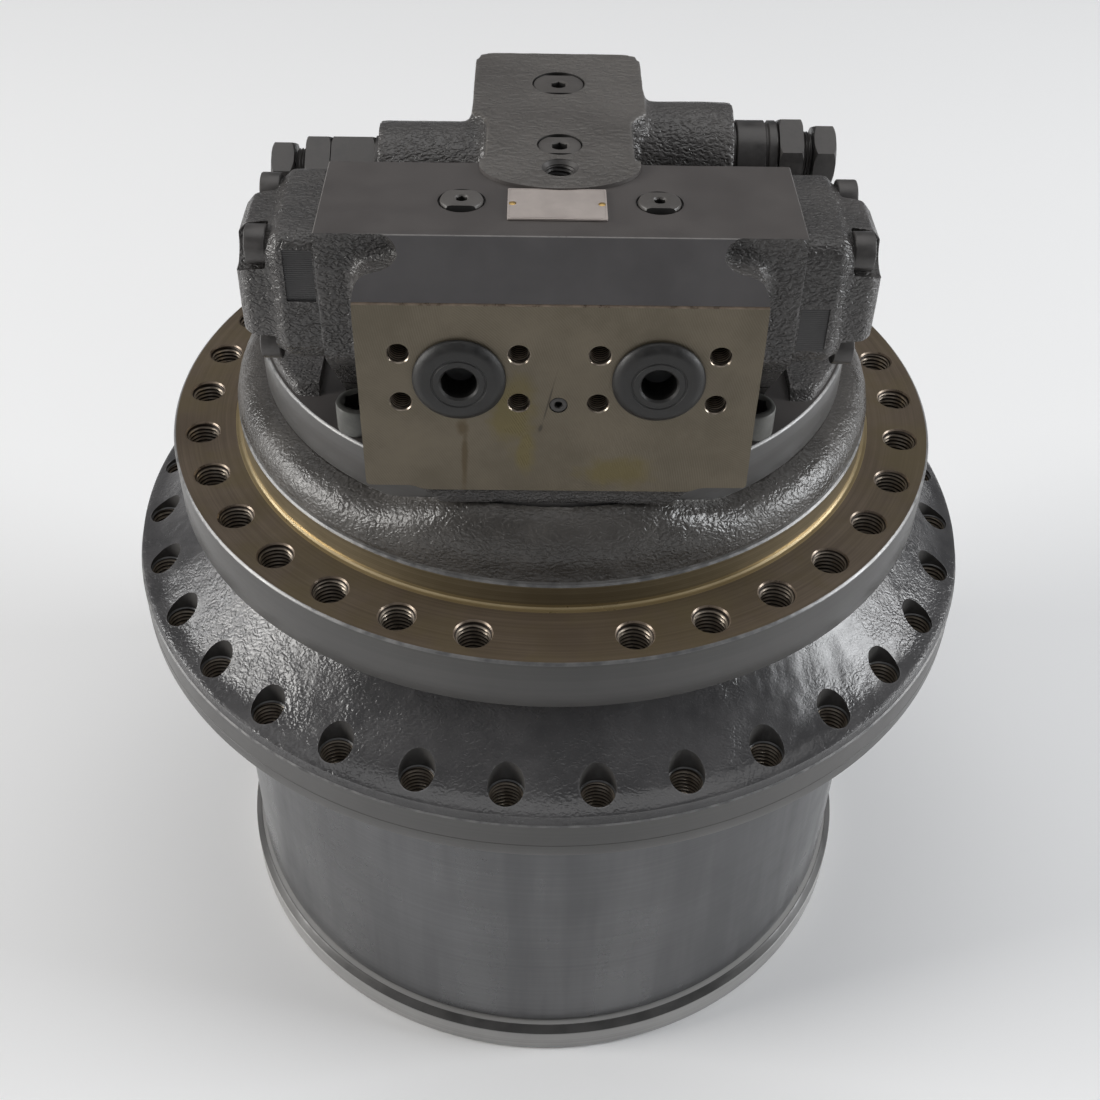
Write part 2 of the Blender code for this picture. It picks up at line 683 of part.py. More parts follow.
def build_bearing(prefix, base, top):
    inner = tube_outline(BEARING_INNER_FACE, INNER_RACE_OUTSIDE, base, top)
    place(f"{prefix}_inner_race", turned(inner, RACE_STEPS), "bearing_steel")
    outer = tube_outline(OUTER_RACE_INSIDE, BEARING_OUTSIDE, base, top)
    place(f"{prefix}_outer_race", turned(outer, RACE_STEPS), "bearing_steel")
    # The rollers and their cage as one ring with a lobe for each roller, clear of the flat sided races.
    low = INNER_RACE_OUTSIDE + SEAT_GAP * 2
    high = OUTER_RACE_INSIDE * math.cos(math.pi / RACE_STEPS) - SEAT_GAP * 2
    middle = (low + high) / 2
    thick = (high - low) / 2
    thin = thick * ROLLER_LOBE_SHARE
    outside = []
    inside = []
    for angle in ring_angles(ROLLER_COUNT):
        for shift, reach in ((0.0, thick), (math.pi / ROLLER_COUNT, thin)):
            here = (math.cos(angle + shift), math.sin(angle + shift))
            outside.append(((middle + reach) * here[0], (middle + reach) * here[1]))
            inside.append(((middle - reach) * here[0], (middle - reach) * here[1]))
    margin = (top - base) * (1 - ROLLER_WIDTH_SHARE) / 2
    place(f"{prefix}_roller_set", prism([outside, inside], base + margin, top - margin), "bearing_steel")


def build_seal():
    rotating_top = SEAL_FLOOR + SEAT_GAP + SEAL_RING_WIDTH
    outside = SEAL_COUNTERBORE - SEAT_GAP
    rotating = tube_outline(outside - ROTATING_SEAL_SECTION, outside, SEAL_FLOOR + SEAT_GAP, rotating_top)
    place("rotating_seal_ring", turned(rotating, RACE_STEPS), "gear_steel")
    inside = SEAL_NECK_RADIUS + SEAT_GAP
    fixed_base = rotating_top + SEAT_GAP
    fixed = tube_outline(inside, inside + FIXED_SEAL_SECTION, fixed_base, fixed_base + SEAL_RING_WIDTH)
    place("fixed_seal_ring", turned(fixed, RACE_STEPS), "gear_steel")


# The motor side, bolted to the track frame

def crown_points():
    # Quarter ellipse from the top of the spigot to the joint face.
    points = []
    for step in range(CROWN_STEPS + 1):
        angle = math.radians(CROWN_SWEEP * step / CROWN_STEPS)
        radius = CASING_TOP_RADIUS + CROWN_WIDTH * math.cos(angle)
        points.append((radius, SPIGOT_TOP + CROWN_HEIGHT * math.sin(angle)))
    return points


def front_pad():
    # The cast swelling at the front that rises under the port ledge and hides the joint there.
    inside = REAR_RADIUS + SEAT_GAP * 2
    base = CASING_TOP - PAD_ROOT
    work = bmesh.new()
    sections = []
    for angle, lift in zip(PAD_ANGLES, PAD_LIFT_SHARES):
        turn = math.radians(angle) - math.pi / 2
        height = PAD_ROOT + lift * PAD_RISE
        section = []
        for depth_share, height_share in zip(PAD_DEPTH_SHARES, PAD_HEIGHT_SHARES):
            radius = inside + depth_share * PAD_DEPTH
            spot = (radius * math.cos(turn), radius * math.sin(turn), base + height_share * height)
            section.append(work.verts.new(spot))
        sections.append(section)
    for one, two in zip(sections, sections[1:]):
        for index in range(len(one)):
            after = (index + 1) % len(one)
            work.faces.new((one[index], two[index], two[after], one[after]))
    work.faces.new(sections[0])
    work.faces.new(sections[-1])
    bmesh.ops.triangulate(work, faces=work.faces[:])
    return helper("join_front_pad", work)


def build_motor_casing():
    seat_base = LOWER_BEARING_BASE - SEAT_GAP
    seat_top = UPPER_BEARING_TOP + SEAT_GAP
    outline = [
        (0, FRAME_FLANGE_BASE),
        (FRAME_FLANGE_RADIUS, FRAME_FLANGE_BASE),
        (FRAME_FLANGE_RADIUS, FRAME_FLANGE_TOP),
        (SPIGOT_RADIUS, FRAME_FLANGE_TOP),
        *crown_points(),
        (0, CASING_TOP),
    ]
    casing = place("motor_casing", turned(outline), "cast_paint")
    spindle = [
        (0, SPINDLE_BASE),
        (SPINDLE_RADIUS, SPINDLE_BASE),
        (SPINDLE_RADIUS, seat_base),
        (BEARING_BORE_RADIUS, seat_base),
        (BEARING_BORE_RADIUS, seat_top),
        (SEAL_NECK_RADIUS, seat_top),
        (SEAL_NECK_RADIUS, FRAME_FLANGE_BASE + CUT_OVERRUN),
        (0, FRAME_FLANGE_BASE + CUT_OVERRUN),
    ]
    join(casing, helper("join_spindle", turned(spindle, RACE_STEPS)))
    cavity = [
        (0, SPINDLE_BASE - CUT_OVERRUN),
        (SHAFT_BEARING_RADIUS, SPINDLE_BASE - CUT_OVERRUN),
        (SHAFT_BEARING_RADIUS, CAVITY_FLOOR),
        (CAVITY_RADIUS, CAVITY_FLOOR),
        (CAVITY_RADIUS, BRAKE_SHOULDER),
        (BRAKE_BORE_RADIUS, BRAKE_SHOULDER),
        (BRAKE_BORE_RADIUS, CASING_TOP + CUT_OVERRUN),
        (0, CASING_TOP + CUT_OVERRUN),
    ]
    cut(casing, helper("cut_cavity", turned(cavity, RACE_STEPS)))
    join(casing, front_pad())
    holes = circle_places(FRAME_HOLE_CIRCLE, FRAME_HOLE_POSITIONS, FRAME_HOLES_LEFT_OUT)
    base = FRAME_FLANGE_BASE - CUT_OVERRUN
    cut(casing, hole_set("cut_frame_holes", holes, FRAME_HOLE_RADIUS, base, FRAME_FLANGE_TOP + CUT_OVERRUN))
    depth = REAR_TOP - COVER_SCREW_LENGTH - CUT_OVERRUN
    tapped = COVER_SCREW_RADIUS + SEAT_GAP * 2
    top = CASING_TOP + CUT_OVERRUN
    cut(casing, hole_set("cut_casing_screws", cover_screw_places(), tapped, depth, top, PIN_STEPS))
    bearing = tube_outline(
        SHAFT_RADIUS + RUNNING_GAP, SHAFT_BEARING_RADIUS - SEAT_GAP, CAVITY_FLOOR - SHAFT_BEARING_WIDTH, CAVITY_FLOOR)
    place("shaft_bearing", turned(bearing, RACE_STEPS), "bearing_steel")


def cover_screw_places():
    x = COVER_SCREW_PLACE_X
    y = COVER_SCREW_PLACE_Y
    return [(-x, -y), (x, -y), (x, y), (-x, y)]


def block_outline():
    # Side view of the main block, from the front edge of its machined top and round by the foot.
    foot = REAR_TOP + BLOCK_FOOT_HEIGHT
    rooted = REAR_TOP - JOIN_DEPTH
    return [
        (-BLOCK_FRONT, BLOCK_TOP),
        (-BLOCK_FRONT, BLOCK_TOP - BLOCK_WALL_HEIGHT),
        (-BLOCK_FOOT_FRONT, foot),
        (-BLOCK_FOOT_FRONT, rooted),
        (TOWER_BACK - TOWER_CORNER, rooted),
        (TOWER_BACK - TOWER_CORNER, foot + REAR_FLANGE_THICKNESS),
        (-BLOCK_BACK, BLOCK_TOP - BLOCK_WALL_HEIGHT),
        (-BLOCK_BACK, BLOCK_TOP),
    ]


def port_block_outline():
    base = REAR_TOP + PORT_BLOCK_RISE
    top = base + PORT_BLOCK_HEIGHT
    return [
        (-PORT_FACE_PLACE, base),
        (-PORT_FACE_PLACE, top),
        (-BLOCK_FRONT, BLOCK_TOP),
        (-BLOCK_BACK - JOIN_DEPTH, BLOCK_TOP),
        (-BLOCK_BACK - JOIN_DEPTH, base),
    ]


def shoulder_cutter(side):
    # The cast recess that bites into each end of the sloping band above the port face.
    low = REAR_TOP + PORT_BLOCK_RISE + PORT_BLOCK_HEIGHT
    high = BLOCK_TOP
    outline = []
    for run, drop in zip(SHOULDER_RUN_SHARES, SHOULDER_DROP_SHARES):
        x = PORT_BLOCK_HALF_WIDTH - run * SHOULDER_RUN
        outline.append((side * x, high - drop * (high - low)))
    outline.append((outline[-1][0], high + CUT_OVERRUN))
    outside = side * (PORT_BLOCK_HALF_WIDTH + SHOULDER_SIDE)
    outline.append((outside, high + CUT_OVERRUN))
    outline.append((outside, low))
    work = along_y(prism([outline], -PORT_FACE_PLACE - CUT_OVERRUN, -BLOCK_FRONT))
    return helper(f"cut_shoulder_{'right' if side > 0 else 'left'}", work)


def tower_outline():
    head = TOWER_HEAD_HALF_WIDTH
    stem = TOWER_STEM_HALF_WIDTH
    nose = TOWER_STEM_SIDE_END - TOWER_NOSE
    half = [
        (head, TOWER_BACK),
        (head, TOWER_NECK),
        (stem, TOWER_NECK - TOWER_NECK_RUN),
    ]
    curve = [
        (stem * math.cos(a), TOWER_STEM_SIDE_END - nose * math.sin(a))
        for a in [math.pi * step / TOWER_NOSE_STEPS for step in range(TOWER_NOSE_STEPS + 1)]
    ]
    corners = rounded([(-head, TOWER_BACK - TOWER_CORNER * 2), (-head, TOWER_BACK), (head, TOWER_BACK),
                       (head, TOWER_BACK - TOWER_CORNER * 2)], TOWER_CORNER)
    left = [(-x, y) for x, y in half[1:]]
    return corners[ARC_STEPS + 1:-ARC_STEPS - 1] + half[1:] + curve + left[::-1]


def soften(work, pick, width, steps=2):
    # Round the edges that a cast shape would have round.
    edges = [edge for edge in work.edges if pick(edge)]
    bmesh.ops.bevel(work, geom=edges, offset=width, segments=steps, profile=0.5, affect='EDGES')
    return work


def all_at(axis, level):
    def pick(edge):
        return all(abs(corner.co[axis] - level) < SEAT_GAP / 3 for corner in edge.verts)
    return pick


def build_rear_cover():
    flange = [
        (0, REAR_BASE),
        (REAR_RADIUS - REAR_FLANGE_CHAMFER, REAR_BASE),
        (REAR_RADIUS, REAR_BASE + REAR_FLANGE_CHAMFER),
        (REAR_RADIUS, REAR_TOP - REAR_FLANGE_CHAMFER),
        (REAR_RADIUS - REAR_FLANGE_CHAMFER, REAR_TOP),
        (0, REAR_TOP),
    ]
    cover = place("rear_cover", turned(flange[::-1]), "cast_paint")
    # The cast back of the flange stands higher than the milled front.
    inset = REAR_RADIUS - REAR_STEP_INSET
    reach = math.asin(REAR_STEP_PLACE / inset)
    sweep = math.pi + reach * 2
    step = [
        (inset * math.cos(a), inset * math.sin(a))
        for a in [-reach + sweep * index / SHELL_STEPS * 2 for index in range(SHELL_STEPS // 2 + 1)]
    ]
    join(cover, helper("join_flange_step", prism([step], REAR_TOP - JOIN_DEPTH, REAR_TOP + REAR_STEP_HEIGHT)))
    block = along_x(prism([block_outline()], -BLOCK_HALF_WIDTH, BLOCK_HALF_WIDTH))
    join(cover, helper("join_block", block))
    port = along_x(prism([port_block_outline()], -PORT_BLOCK_HALF_WIDTH, PORT_BLOCK_HALF_WIDTH))
    port_block = helper("join_port_block", port)
    for side in (-1, 1):
        cut(port_block, shoulder_cutter(side))
    join(cover, port_block)
    tower = prism([tower_outline()], REAR_TOP - JOIN_DEPTH, TOWER_TOP)
    soften(tower, all_at(2, TOWER_TOP), TOWER_EDGE)
    join(cover, helper("join_tower", tower))
    for side, middle, name in ((-1, RELIEF_LEFT_PLACE, "left"), (1, RELIEF_RIGHT_PLACE, "right")):
        arch = [
            (middle + RELIEF_BOSS_RADIUS * math.cos(a), RELIEF_Z + RELIEF_BOSS_RADIUS * math.sin(a))
            for a in [math.pi * step / RELIEF_BOSS_STEPS for step in range(RELIEF_BOSS_STEPS + 1)]
        ]
        rooted = REAR_TOP - JOIN_DEPTH
        arch += [(middle - RELIEF_BOSS_RADIUS, rooted), (middle + RELIEF_BOSS_RADIUS, rooted)]
        inner, outer = sorted((side * TOWER_STEM_HALF_WIDTH / 2, side * RELIEF_BOSS_END))
        boss = along_x(prism([arch], inner, outer))
        soften(boss, all_at(0, side * RELIEF_BOSS_END), RELIEF_BOSS_EDGE)
        join(cover, helper(f"join_relief_boss_{name}", boss))
    ledge_top = REAR_TOP + PORT_BLOCK_RISE + JOIN_DEPTH
    ledge_base = REAR_TOP + PORT_BLOCK_RISE - PORT_LEDGE_DROP
    reach = PORT_LEDGE_HALF_WIDTH
    ledge = [
        (-reach, ledge_top),
        (-reach, ledge_base + PORT_LEDGE_CHAMFER),
        (-reach + PORT_LEDGE_CHAMFER, ledge_base),
        (reach - PORT_LEDGE_CHAMFER, ledge_base),
        (reach, ledge_base + PORT_LEDGE_CHAMFER),
        (reach, ledge_top),
    ]
    front = -PORT_FACE_PLACE + PORT_LEDGE_INSET
    join(cover, helper("join_port_ledge", along_y(prism([ledge], front, -BLOCK_FOOT_FRONT))))
    drill_rear_cover(cover)


def port_bolt_places():
    places = []
    for side in (-1, 1):
        for x in (-1, 1):
            for z in (-1, 1):
                places.append((side * PORT_SPACING / 2 + x * PORT_BOLT_SPAN / 2, PORT_Z + z * PORT_BOLT_RISE / 2))
    return places


def drill_rear_cover(cover):
    spool = along_x(prism(
        [circle(SPOOL_RADIUS + SEAT_GAP, PIN_STEPS, (-SPOOL_PLACE, SPOOL_Z))],
        -BLOCK_HALF_WIDTH - CUT_OVERRUN, BLOCK_HALF_WIDTH + CUT_OVERRUN))
    cut(cover, helper("cut_spool_bore", spool))
    front = -PORT_FACE_PLACE - CUT_OVERRUN
    work = bmesh.new()
    for side in (-1, 1):
        spot = (side * PORT_SPACING / 2, PORT_Z)
        add_prism(work, [circle(PORT_BORE_RADIUS, PIN_STEPS, spot)], front, -PORT_FACE_PLACE + PORT_BORE_DEPTH)
    for spot in port_bolt_places():
        add_prism(work, [circle(PORT_BOLT_RADIUS, HOLE_STEPS, spot)], front, -PORT_FACE_PLACE + PORT_BOLT_DEPTH)
    spot = (0, REAR_TOP + TEST_PLUG_HEIGHT)
    end = -PORT_FACE_PLACE + TEST_PLUG_DEPTH + SEAT_GAP
    add_prism(work, [circle(TEST_PLUG_RADIUS + SEAT_GAP, POCKET_STEPS, spot)], front, end)
    cut(cover, helper("cut_port_face", along_y(work)))
    work = bmesh.new()
    for side in (-1, 1):
        spot = (side * CHECK_PLUG_PLACE_X, -CHECK_PLUG_PLACE_Y)
        floor = BLOCK_TOP - CHECK_PLUG_DEPTH - SEAT_GAP
        add_prism(work, [circle(CHECK_PLUG_RADIUS + SEAT_GAP, PIN_STEPS, spot)], floor, BLOCK_TOP + CUT_OVERRUN)
    for middle, radius in ((MAIN_GALLERY_PLACE, MAIN_GALLERY_RADIUS), (SMALL_GALLERY_PLACE, SMALL_GALLERY_RADIUS)):
        floor = TOWER_TOP - GALLERY_PLUG_SINK - GALLERY_PLUG_DEPTH - SEAT_GAP
        add_prism(work, [circle(radius + SEAT_GAP, PIN_STEPS, (0, middle))], floor, TOWER_TOP + CUT_OVERRUN)
    eye = circle(EYE_HOLE_RADIUS, PIN_STEPS, (0, EYE_HOLE_PLACE))
    add_prism(work, [eye], TOWER_TOP - EYE_HOLE_DEPTH, TOWER_TOP + CUT_OVERRUN)
    cut(cover, helper("cut_from_above", work))
    wide = COVER_SCREW_HEAD_RADIUS + CUT_OVERRUN
    high = REAR_TOP + COVER_SCREW_HEAD_HEIGHT + CUT_OVERRUN
    cut(cover, hole_set("cut_screw_seats", cover_screw_places(), wide, REAR_TOP, high, PIN_STEPS))
    bored = COVER_SCREW_RADIUS + SEAT_GAP * 2
    cut(cover, hole_set("cut_screw_holes", cover_screw_places(), bored, REAR_BASE - CUT_OVERRUN, high, PIN_STEPS))
    work = bmesh.new()
    for side, middle in ((-1, RELIEF_LEFT_PLACE), (1, RELIEF_RIGHT_PLACE)):
        ends = sorted((side * (RELIEF_BOSS_END - RELIEF_BORE_DEPTH), side * (RELIEF_BOSS_END + CUT_OVERRUN)))
        add_prism(work, [circle(RELIEF_BORE_RADIUS, PIN_STEPS, (middle, RELIEF_Z))], *ends)
    cut(cover, helper("cut_relief_bores", along_x(work)))


def build_cover_screws():
    for index, (x, y) in enumerate(cover_screw_places()):
        seat = REAR_TOP + SEAT_GAP
        top = seat + COVER_SCREW_HEAD_HEIGHT
        outline = [
            (0, top),
            (COVER_SCREW_HEAD_RADIUS, top),
            (COVER_SCREW_HEAD_RADIUS, seat),
            (COVER_SCREW_RADIUS, seat),
            (COVER_SCREW_RADIUS, REAR_TOP - COVER_SCREW_LENGTH),
            (0, REAR_TOP - COVER_SCREW_LENGTH),
        ]
        work = bmesh.new()
        add_turned(work, outline, PIN_STEPS, (x, y))
        place(f"cover_screw_{index + 1}", work, "black_oxide")


def cap_outline():
    base = REAR_TOP
    return rounded([
        (-CAP_FRONT, base + CAP_TOP),
        (-CAP_FRONT, base + CAP_SHOULDER),
        (-CAP_FRONT + CAP_SLOPE_RUN, base + CAP_BOTTOM),
        (-CAP_BACK - CAP_CORNER, base + CAP_BOTTOM),
        (-CAP_BACK, base + CAP_SHOULDER),
        (-CAP_BACK, base + CAP_TOP),
    ], CAP_CORNER)


def build_spool_cap(side, name):
    outline = cap_outline()
    middle = Vector((-(CAP_FRONT + CAP_BACK) / 2, REAR_TOP + (CAP_TOP + CAP_BOTTOM) / 2))
    work = bmesh.new()
    rings = []
    start = BLOCK_HALF_WIDTH + SEAT_GAP
    for along, size in CAP_LOFT_SHARES:
        x = side * (start + along * CAP_LENGTH)
        ring = []
        for spot in outline:
            near = middle + (Vector(spot) - middle) * size
            ring.append(work.verts.new((x, near.x, near.y)))
        rings.append(ring)
    for one, two in zip(rings, rings[1:]):
        for index in range(len(one)):
            after = (index + 1) % len(one)
            work.faces.new((one[index], one[after], two[after], two[index]))
    work.faces.new(rings[0])
    work.faces.new(rings[-1])
    cap = place(f"{name}_spool_cap", work, "cast_paint")
    work = bmesh.new()
    for y, z in CAP_BOLT_PLACES:
        spot = (-y, REAR_TOP + z)
        ends = sorted((side * (start + CAP_BOLT_SEAT), side * (start + CAP_LENGTH + CUT_OVERRUN)))
        add_prism(work, [circle(CAP_BOLT_POCKET_RADIUS, POCKET_STEPS, spot)], *ends)
    chamber = circle(SPRING_CHAMBER_RADIUS, PIN_STEPS, (-SPOOL_PLACE, SPOOL_Z))
    ends = sorted((side * (start - CUT_OVERRUN), side * (start + SPRING_CHAMBER_DEPTH)))
    add_prism(work, [chamber], *ends)
    cut(cap, helper(f"cut_{name}_cap", along_x(work)))


def build_spool():
    # Counterbalance spool: two lands and a waisted middle. It shifts along X between the end caps.
    reach = BLOCK_HALF_WIDTH - SPOOL_OVERHANG
    waist = SPOOL_RADIUS - SPOOL_GROOVE_DEPTH
    outline = [(0, -reach), (SPOOL_RADIUS, -reach)]
    pairs = zip(SPOOL_GROOVE_SHARES[::2], SPOOL_GROOVE_SHARES[1::2])
    for low, high in pairs:
        start = -reach + low * 2 * reach
        end = -reach + high * 2 * reach
        outline += [(SPOOL_RADIUS, start), (waist, start), (waist, end), (SPOOL_RADIUS, end)]
    outline += [(SPOOL_RADIUS, reach), (0, reach)]
    work = along_x(turned(outline[::-1], PIN_STEPS))
    bmesh.ops.translate(work, verts=work.verts[:], vec=(0, -SPOOL_PLACE, SPOOL_Z))
    place("counterbalance_spool", work, "gear_steel")


def polygon_rod(sides, sections, turn=0.0):
    # A rod along Z built from (radius, height) sections with flat sides.
    work = bmesh.new()
    rings = []
    for radius, height in sections:
        rings.append([work.verts.new((x, y, height)) for x, y in circle(radius, sides, start=turn)])
    for one, two in zip(rings, rings[1:]):
        for index in range(sides):
            after = (index + 1) % sides
            work.faces.new((one[index], one[after], two[after], two[index]))
    work.faces.new(rings[0])
    work.faces.new(rings[-1])
    return work


def chamfered_sections(radius, base, top):
    edge = radius * HEX_CHAMFER_SHARE
    return [(radius - edge, base), (radius, base + edge), (radius, top - edge), (radius - edge, top)]


def turn_out(work, side, middle):
    # Stand a rod made along Z on the side of the block, pointing outwards.
    turn = Matrix.Rotation(math.copysign(math.pi / 2, side), 4, 'Y')
    shift = Matrix.Translation((0, middle, RELIEF_Z))
    bmesh.ops.transform(work, matrix=shift @ turn, verts=work.verts[:])
    return work


def build_relief_valve(side, middle, name, body_sides, body_radius):
    # Body with its stem in the boss, then the lock nut on the adjuster thread, then the cap.
    seat = RELIEF_BOSS_END + SEAT_GAP
    collar = seat + RELIEF_COLLAR_WIDTH
    body_end = collar + RELIEF_BODY_LENGTH
    nut_base = body_end + SEAT_GAP
    nut_end = nut_base + RELIEF_NUT_LENGTH
    thread_end = nut_end + RELIEF_THREAD_LENGTH
    stem = RELIEF_BORE_RADIUS - SEAT_GAP
    stem_base = RELIEF_BOSS_END - RELIEF_BORE_DEPTH + SEAT_GAP
    work = bmesh.new()
    add_turned(work, [
        (0, thread_end),
        (RELIEF_THREAD_RADIUS, thread_end),
        (RELIEF_THREAD_RADIUS, body_end - CUT_OVERRUN),
        (stem, body_end - CUT_OVERRUN * 2),
        (stem, stem_base),
        (0, stem_base),
    ], PIN_STEPS)
    body = place(f"{name}_relief_body", turn_out(work, side, middle), "black_oxide")
    shape = polygon_rod(body_sides, chamfered_sections(body_radius, seat, body_end))
    join(body, helper(f"join_{name}_relief_body", turn_out(shape, side, middle)))
    bore = RELIEF_THREAD_RADIUS + SEAT_GAP
    shape = polygon_rod(HEX_SIDES, chamfered_sections(RELIEF_NUT_RADIUS, nut_base, nut_end))
    nut = place(f"{name}_relief_locknut", turn_out(shape, side, middle), "black_oxide")
    hole = prism([circle(bore, PIN_STEPS)], nut_base - CUT_OVERRUN, nut_end + CUT_OVERRUN)
    cut(nut, helper(f"cut_{name}_locknut", turn_out(hole, side, middle)))
    cap_base = thread_end + SEAT_GAP
    shape = polygon_rod(HEX_SIDES, chamfered_sections(RELIEF_CAP_RADIUS, cap_base, cap_base + RELIEF_CAP_LENGTH))
    place(f"{name}_relief_cap", turn_out(shape, side, middle), "black_oxide")


def build_port_plugs():
    for side, name in ((-1, "left"), (1, "right")):
        seat = PORT_FACE_PLACE + SEAT_GAP
        crown = seat + PORT_PLUG_CROWN
        rim = PORT_PLUG_RADIUS * PORT_PLUG_RIM_SHARE
        stem = PORT_BORE_RADIUS - SEAT_GAP
        end = PORT_FACE_PLACE - PORT_PLUG_LENGTH
        outline = [
            (0, end),
            (stem, end),
            (stem, seat),
            (PORT_PLUG_RADIUS, seat),
            (rim, crown),
            (PORT_PLUG_RECESS_RADIUS, crown),
            (PORT_PLUG_RECESS_RADIUS, crown - PORT_PLUG_RECESS_DEPTH),
            (0, crown - PORT_PLUG_RECESS_DEPTH),
        ]
        work = turned(outline, PIN_STEPS)
        turn = Matrix.Rotation(math.pi / 2, 4, 'X')
        shift = Matrix.Translation((side * PORT_SPACING / 2, 0, PORT_Z))
        bmesh.ops.transform(work, matrix=shift @ turn, verts=work.verts[:])
        place(f"{name}_port_plug", work, "black_rubber")
    work = prism([circle(TEST_PLUG_RADIUS, POCKET_STEPS)], PORT_FACE_PLACE - TEST_PLUG_DEPTH, PORT_FACE_PLACE)
    shift = Matrix.Translation((0, 0, REAR_TOP + TEST_PLUG_HEIGHT))
    bmesh.ops.transform(work, matrix=shift @ Matrix.Rotation(math.pi / 2, 4, 'X'), verts=work.verts[:])
    place("test_port_plug", work, "black_oxide")


def build_flush_plug(name, middle, radius):
    top = TOWER_TOP - GALLERY_PLUG_SINK
    place(name, prism([circle(radius, PIN_STEPS, (0, middle))], top - GALLERY_PLUG_DEPTH, top), "black_oxide")


def build_check_plug(side, name):
    # Round plug with two milled flats on the part that stands above the block.
    spot = (side * CHECK_PLUG_PLACE_X, -CHECK_PLUG_PLACE_Y)
    top = BLOCK_TOP + CHECK_PLUG_PROUD
    work = prism([circle(CHECK_PLUG_RADIUS, PIN_STEPS, spot)], BLOCK_TOP - CHECK_PLUG_DEPTH, BLOCK_TOP)
    plug = place(f"{name}_check_plug", work, "black_oxide")
    flat = CHECK_PLUG_RADIUS * CHECK_PLUG_FLAT_SHARE
    head = [
        (x, min(max(y, spot[1] - flat), spot[1] + flat))
        for x, y in circle(CHECK_PLUG_RADIUS - SEAT_GAP, PIN_STEPS, spot)
    ]
    join(plug, helper(f"join_{name}_check_plug", prism([head], BLOCK_TOP - CHECK_PLUG_DEPTH / 2, top)))


def build_nameplate():
    x = PLATE_PLACE_X
    y = -PLATE_PLACE_Y
    half = (PLATE_WIDTH / 2, PLATE_DEPTH / 2)
    corners = [
        (x - half[0], y - half[1]),
        (x + half[0], y - half[1]),
        (x + half[0], y + half[1]),
        (x - half[0], y + half[1]),
    ]
    base = BLOCK_TOP + SEAT_GAP
    place("nameplate", prism([corners], base, base + PLATE_THICKNESS), "plain_plate")


# The two planetary stages

def planet_turn(angle, planet_teeth):
    # Turn that puts a planet tooth in the nearest ring space, which are centred on multiples of the ring's pitch.
    pitch = math.tau / RING_TEETH
    nearest = round(angle / pitch) * pitch
    return angle + (nearest - angle) * RING_TEETH / planet_teeth


def sun_turn(sun_teeth, planet_teeth):
    # The first planet stands on +X. It shows the sun a space when its tooth count is odd, and a tooth when even.
    return 0.0 if planet_teeth % 2 else math.pi / sun_teeth


def build_planets(stage, teeth, orbit, base, top, pin_radius):
    for index, angle in enumerate(ring_angles(PLANETS_PER_STAGE)):
        outer = external_gear(teeth, planet_turn(angle, teeth))
        bore = circle(pin_radius + RUNNING_GAP, PIN_STEPS)
        gear = place(f"planet_{stage}_{index + 1}", prism([outer, bore], base, top), "gear_steel")
        gear.location = (orbit * math.cos(angle), orbit * math.sin(angle), 0)


def build_pins(stage, orbit, base, top, radius):
    for index, angle in enumerate(ring_angles(PLANETS_PER_STAGE)):
        pin = place(f"planet_{stage}_pin_{index + 1}", prism([circle(radius, PIN_STEPS)], base, top), "gear_steel")
        pin.location = (orbit * math.cos(angle), orbit * math.sin(angle), 0)


def orbit_places(orbit):
    return [(orbit * math.cos(a), orbit * math.sin(a)) for a in ring_angles(PLANETS_PER_STAGE)]


def build_first_stage():
    sun = external_gear(SUN_1_TEETH, sun_turn(SUN_1_TEETH, PLANET_1_TEETH))
    bore = circle(SHAFT_RADIUS + SEAT_GAP, PIN_STEPS)
    place("sun_gear_1", prism([sun, bore], STAGE_1_BASE, STAGE_1_TOP), "gear_steel")
    build_planets(1, PLANET_1_TEETH, PLANET_1_CIRCLE, STAGE_1_BASE, STAGE_1_TOP, PIN_1_RADIUS)
    build_pins(1, PLANET_1_CIRCLE, STAGE_1_BASE, CARRIER_1_TOP, PIN_1_RADIUS)
    # The second sun gear's teeth double as the spline that the carrier drives.
    rim = circle(PLANET_1_CIRCLE + PIN_1_RADIUS + CARRIER_RIM, RACE_STEPS * 2)
    pitch = TOOTH_MODULE * SUN_2_TEETH / 2
    low = pitch - TOOTH_MODULE * DEDENDUM_SHARE + SEAT_GAP
    high = pitch + TOOTH_MODULE * ADDENDUM_SHARE + SEAT_GAP
    spline = gear_outline(SUN_2_TEETH, low, high, -SEAT_GAP, sun_turn(SUN_2_TEETH, PLANET_2_TEETH))
    holes = [circle(PIN_1_RADIUS + SEAT_GAP, PIN_STEPS, spot) for spot in orbit_places(PLANET_1_CIRCLE)]
    place("carrier_1", prism([rim, spline, *holes], CARRIER_1_BASE, CARRIER_1_TOP), "gear_steel")


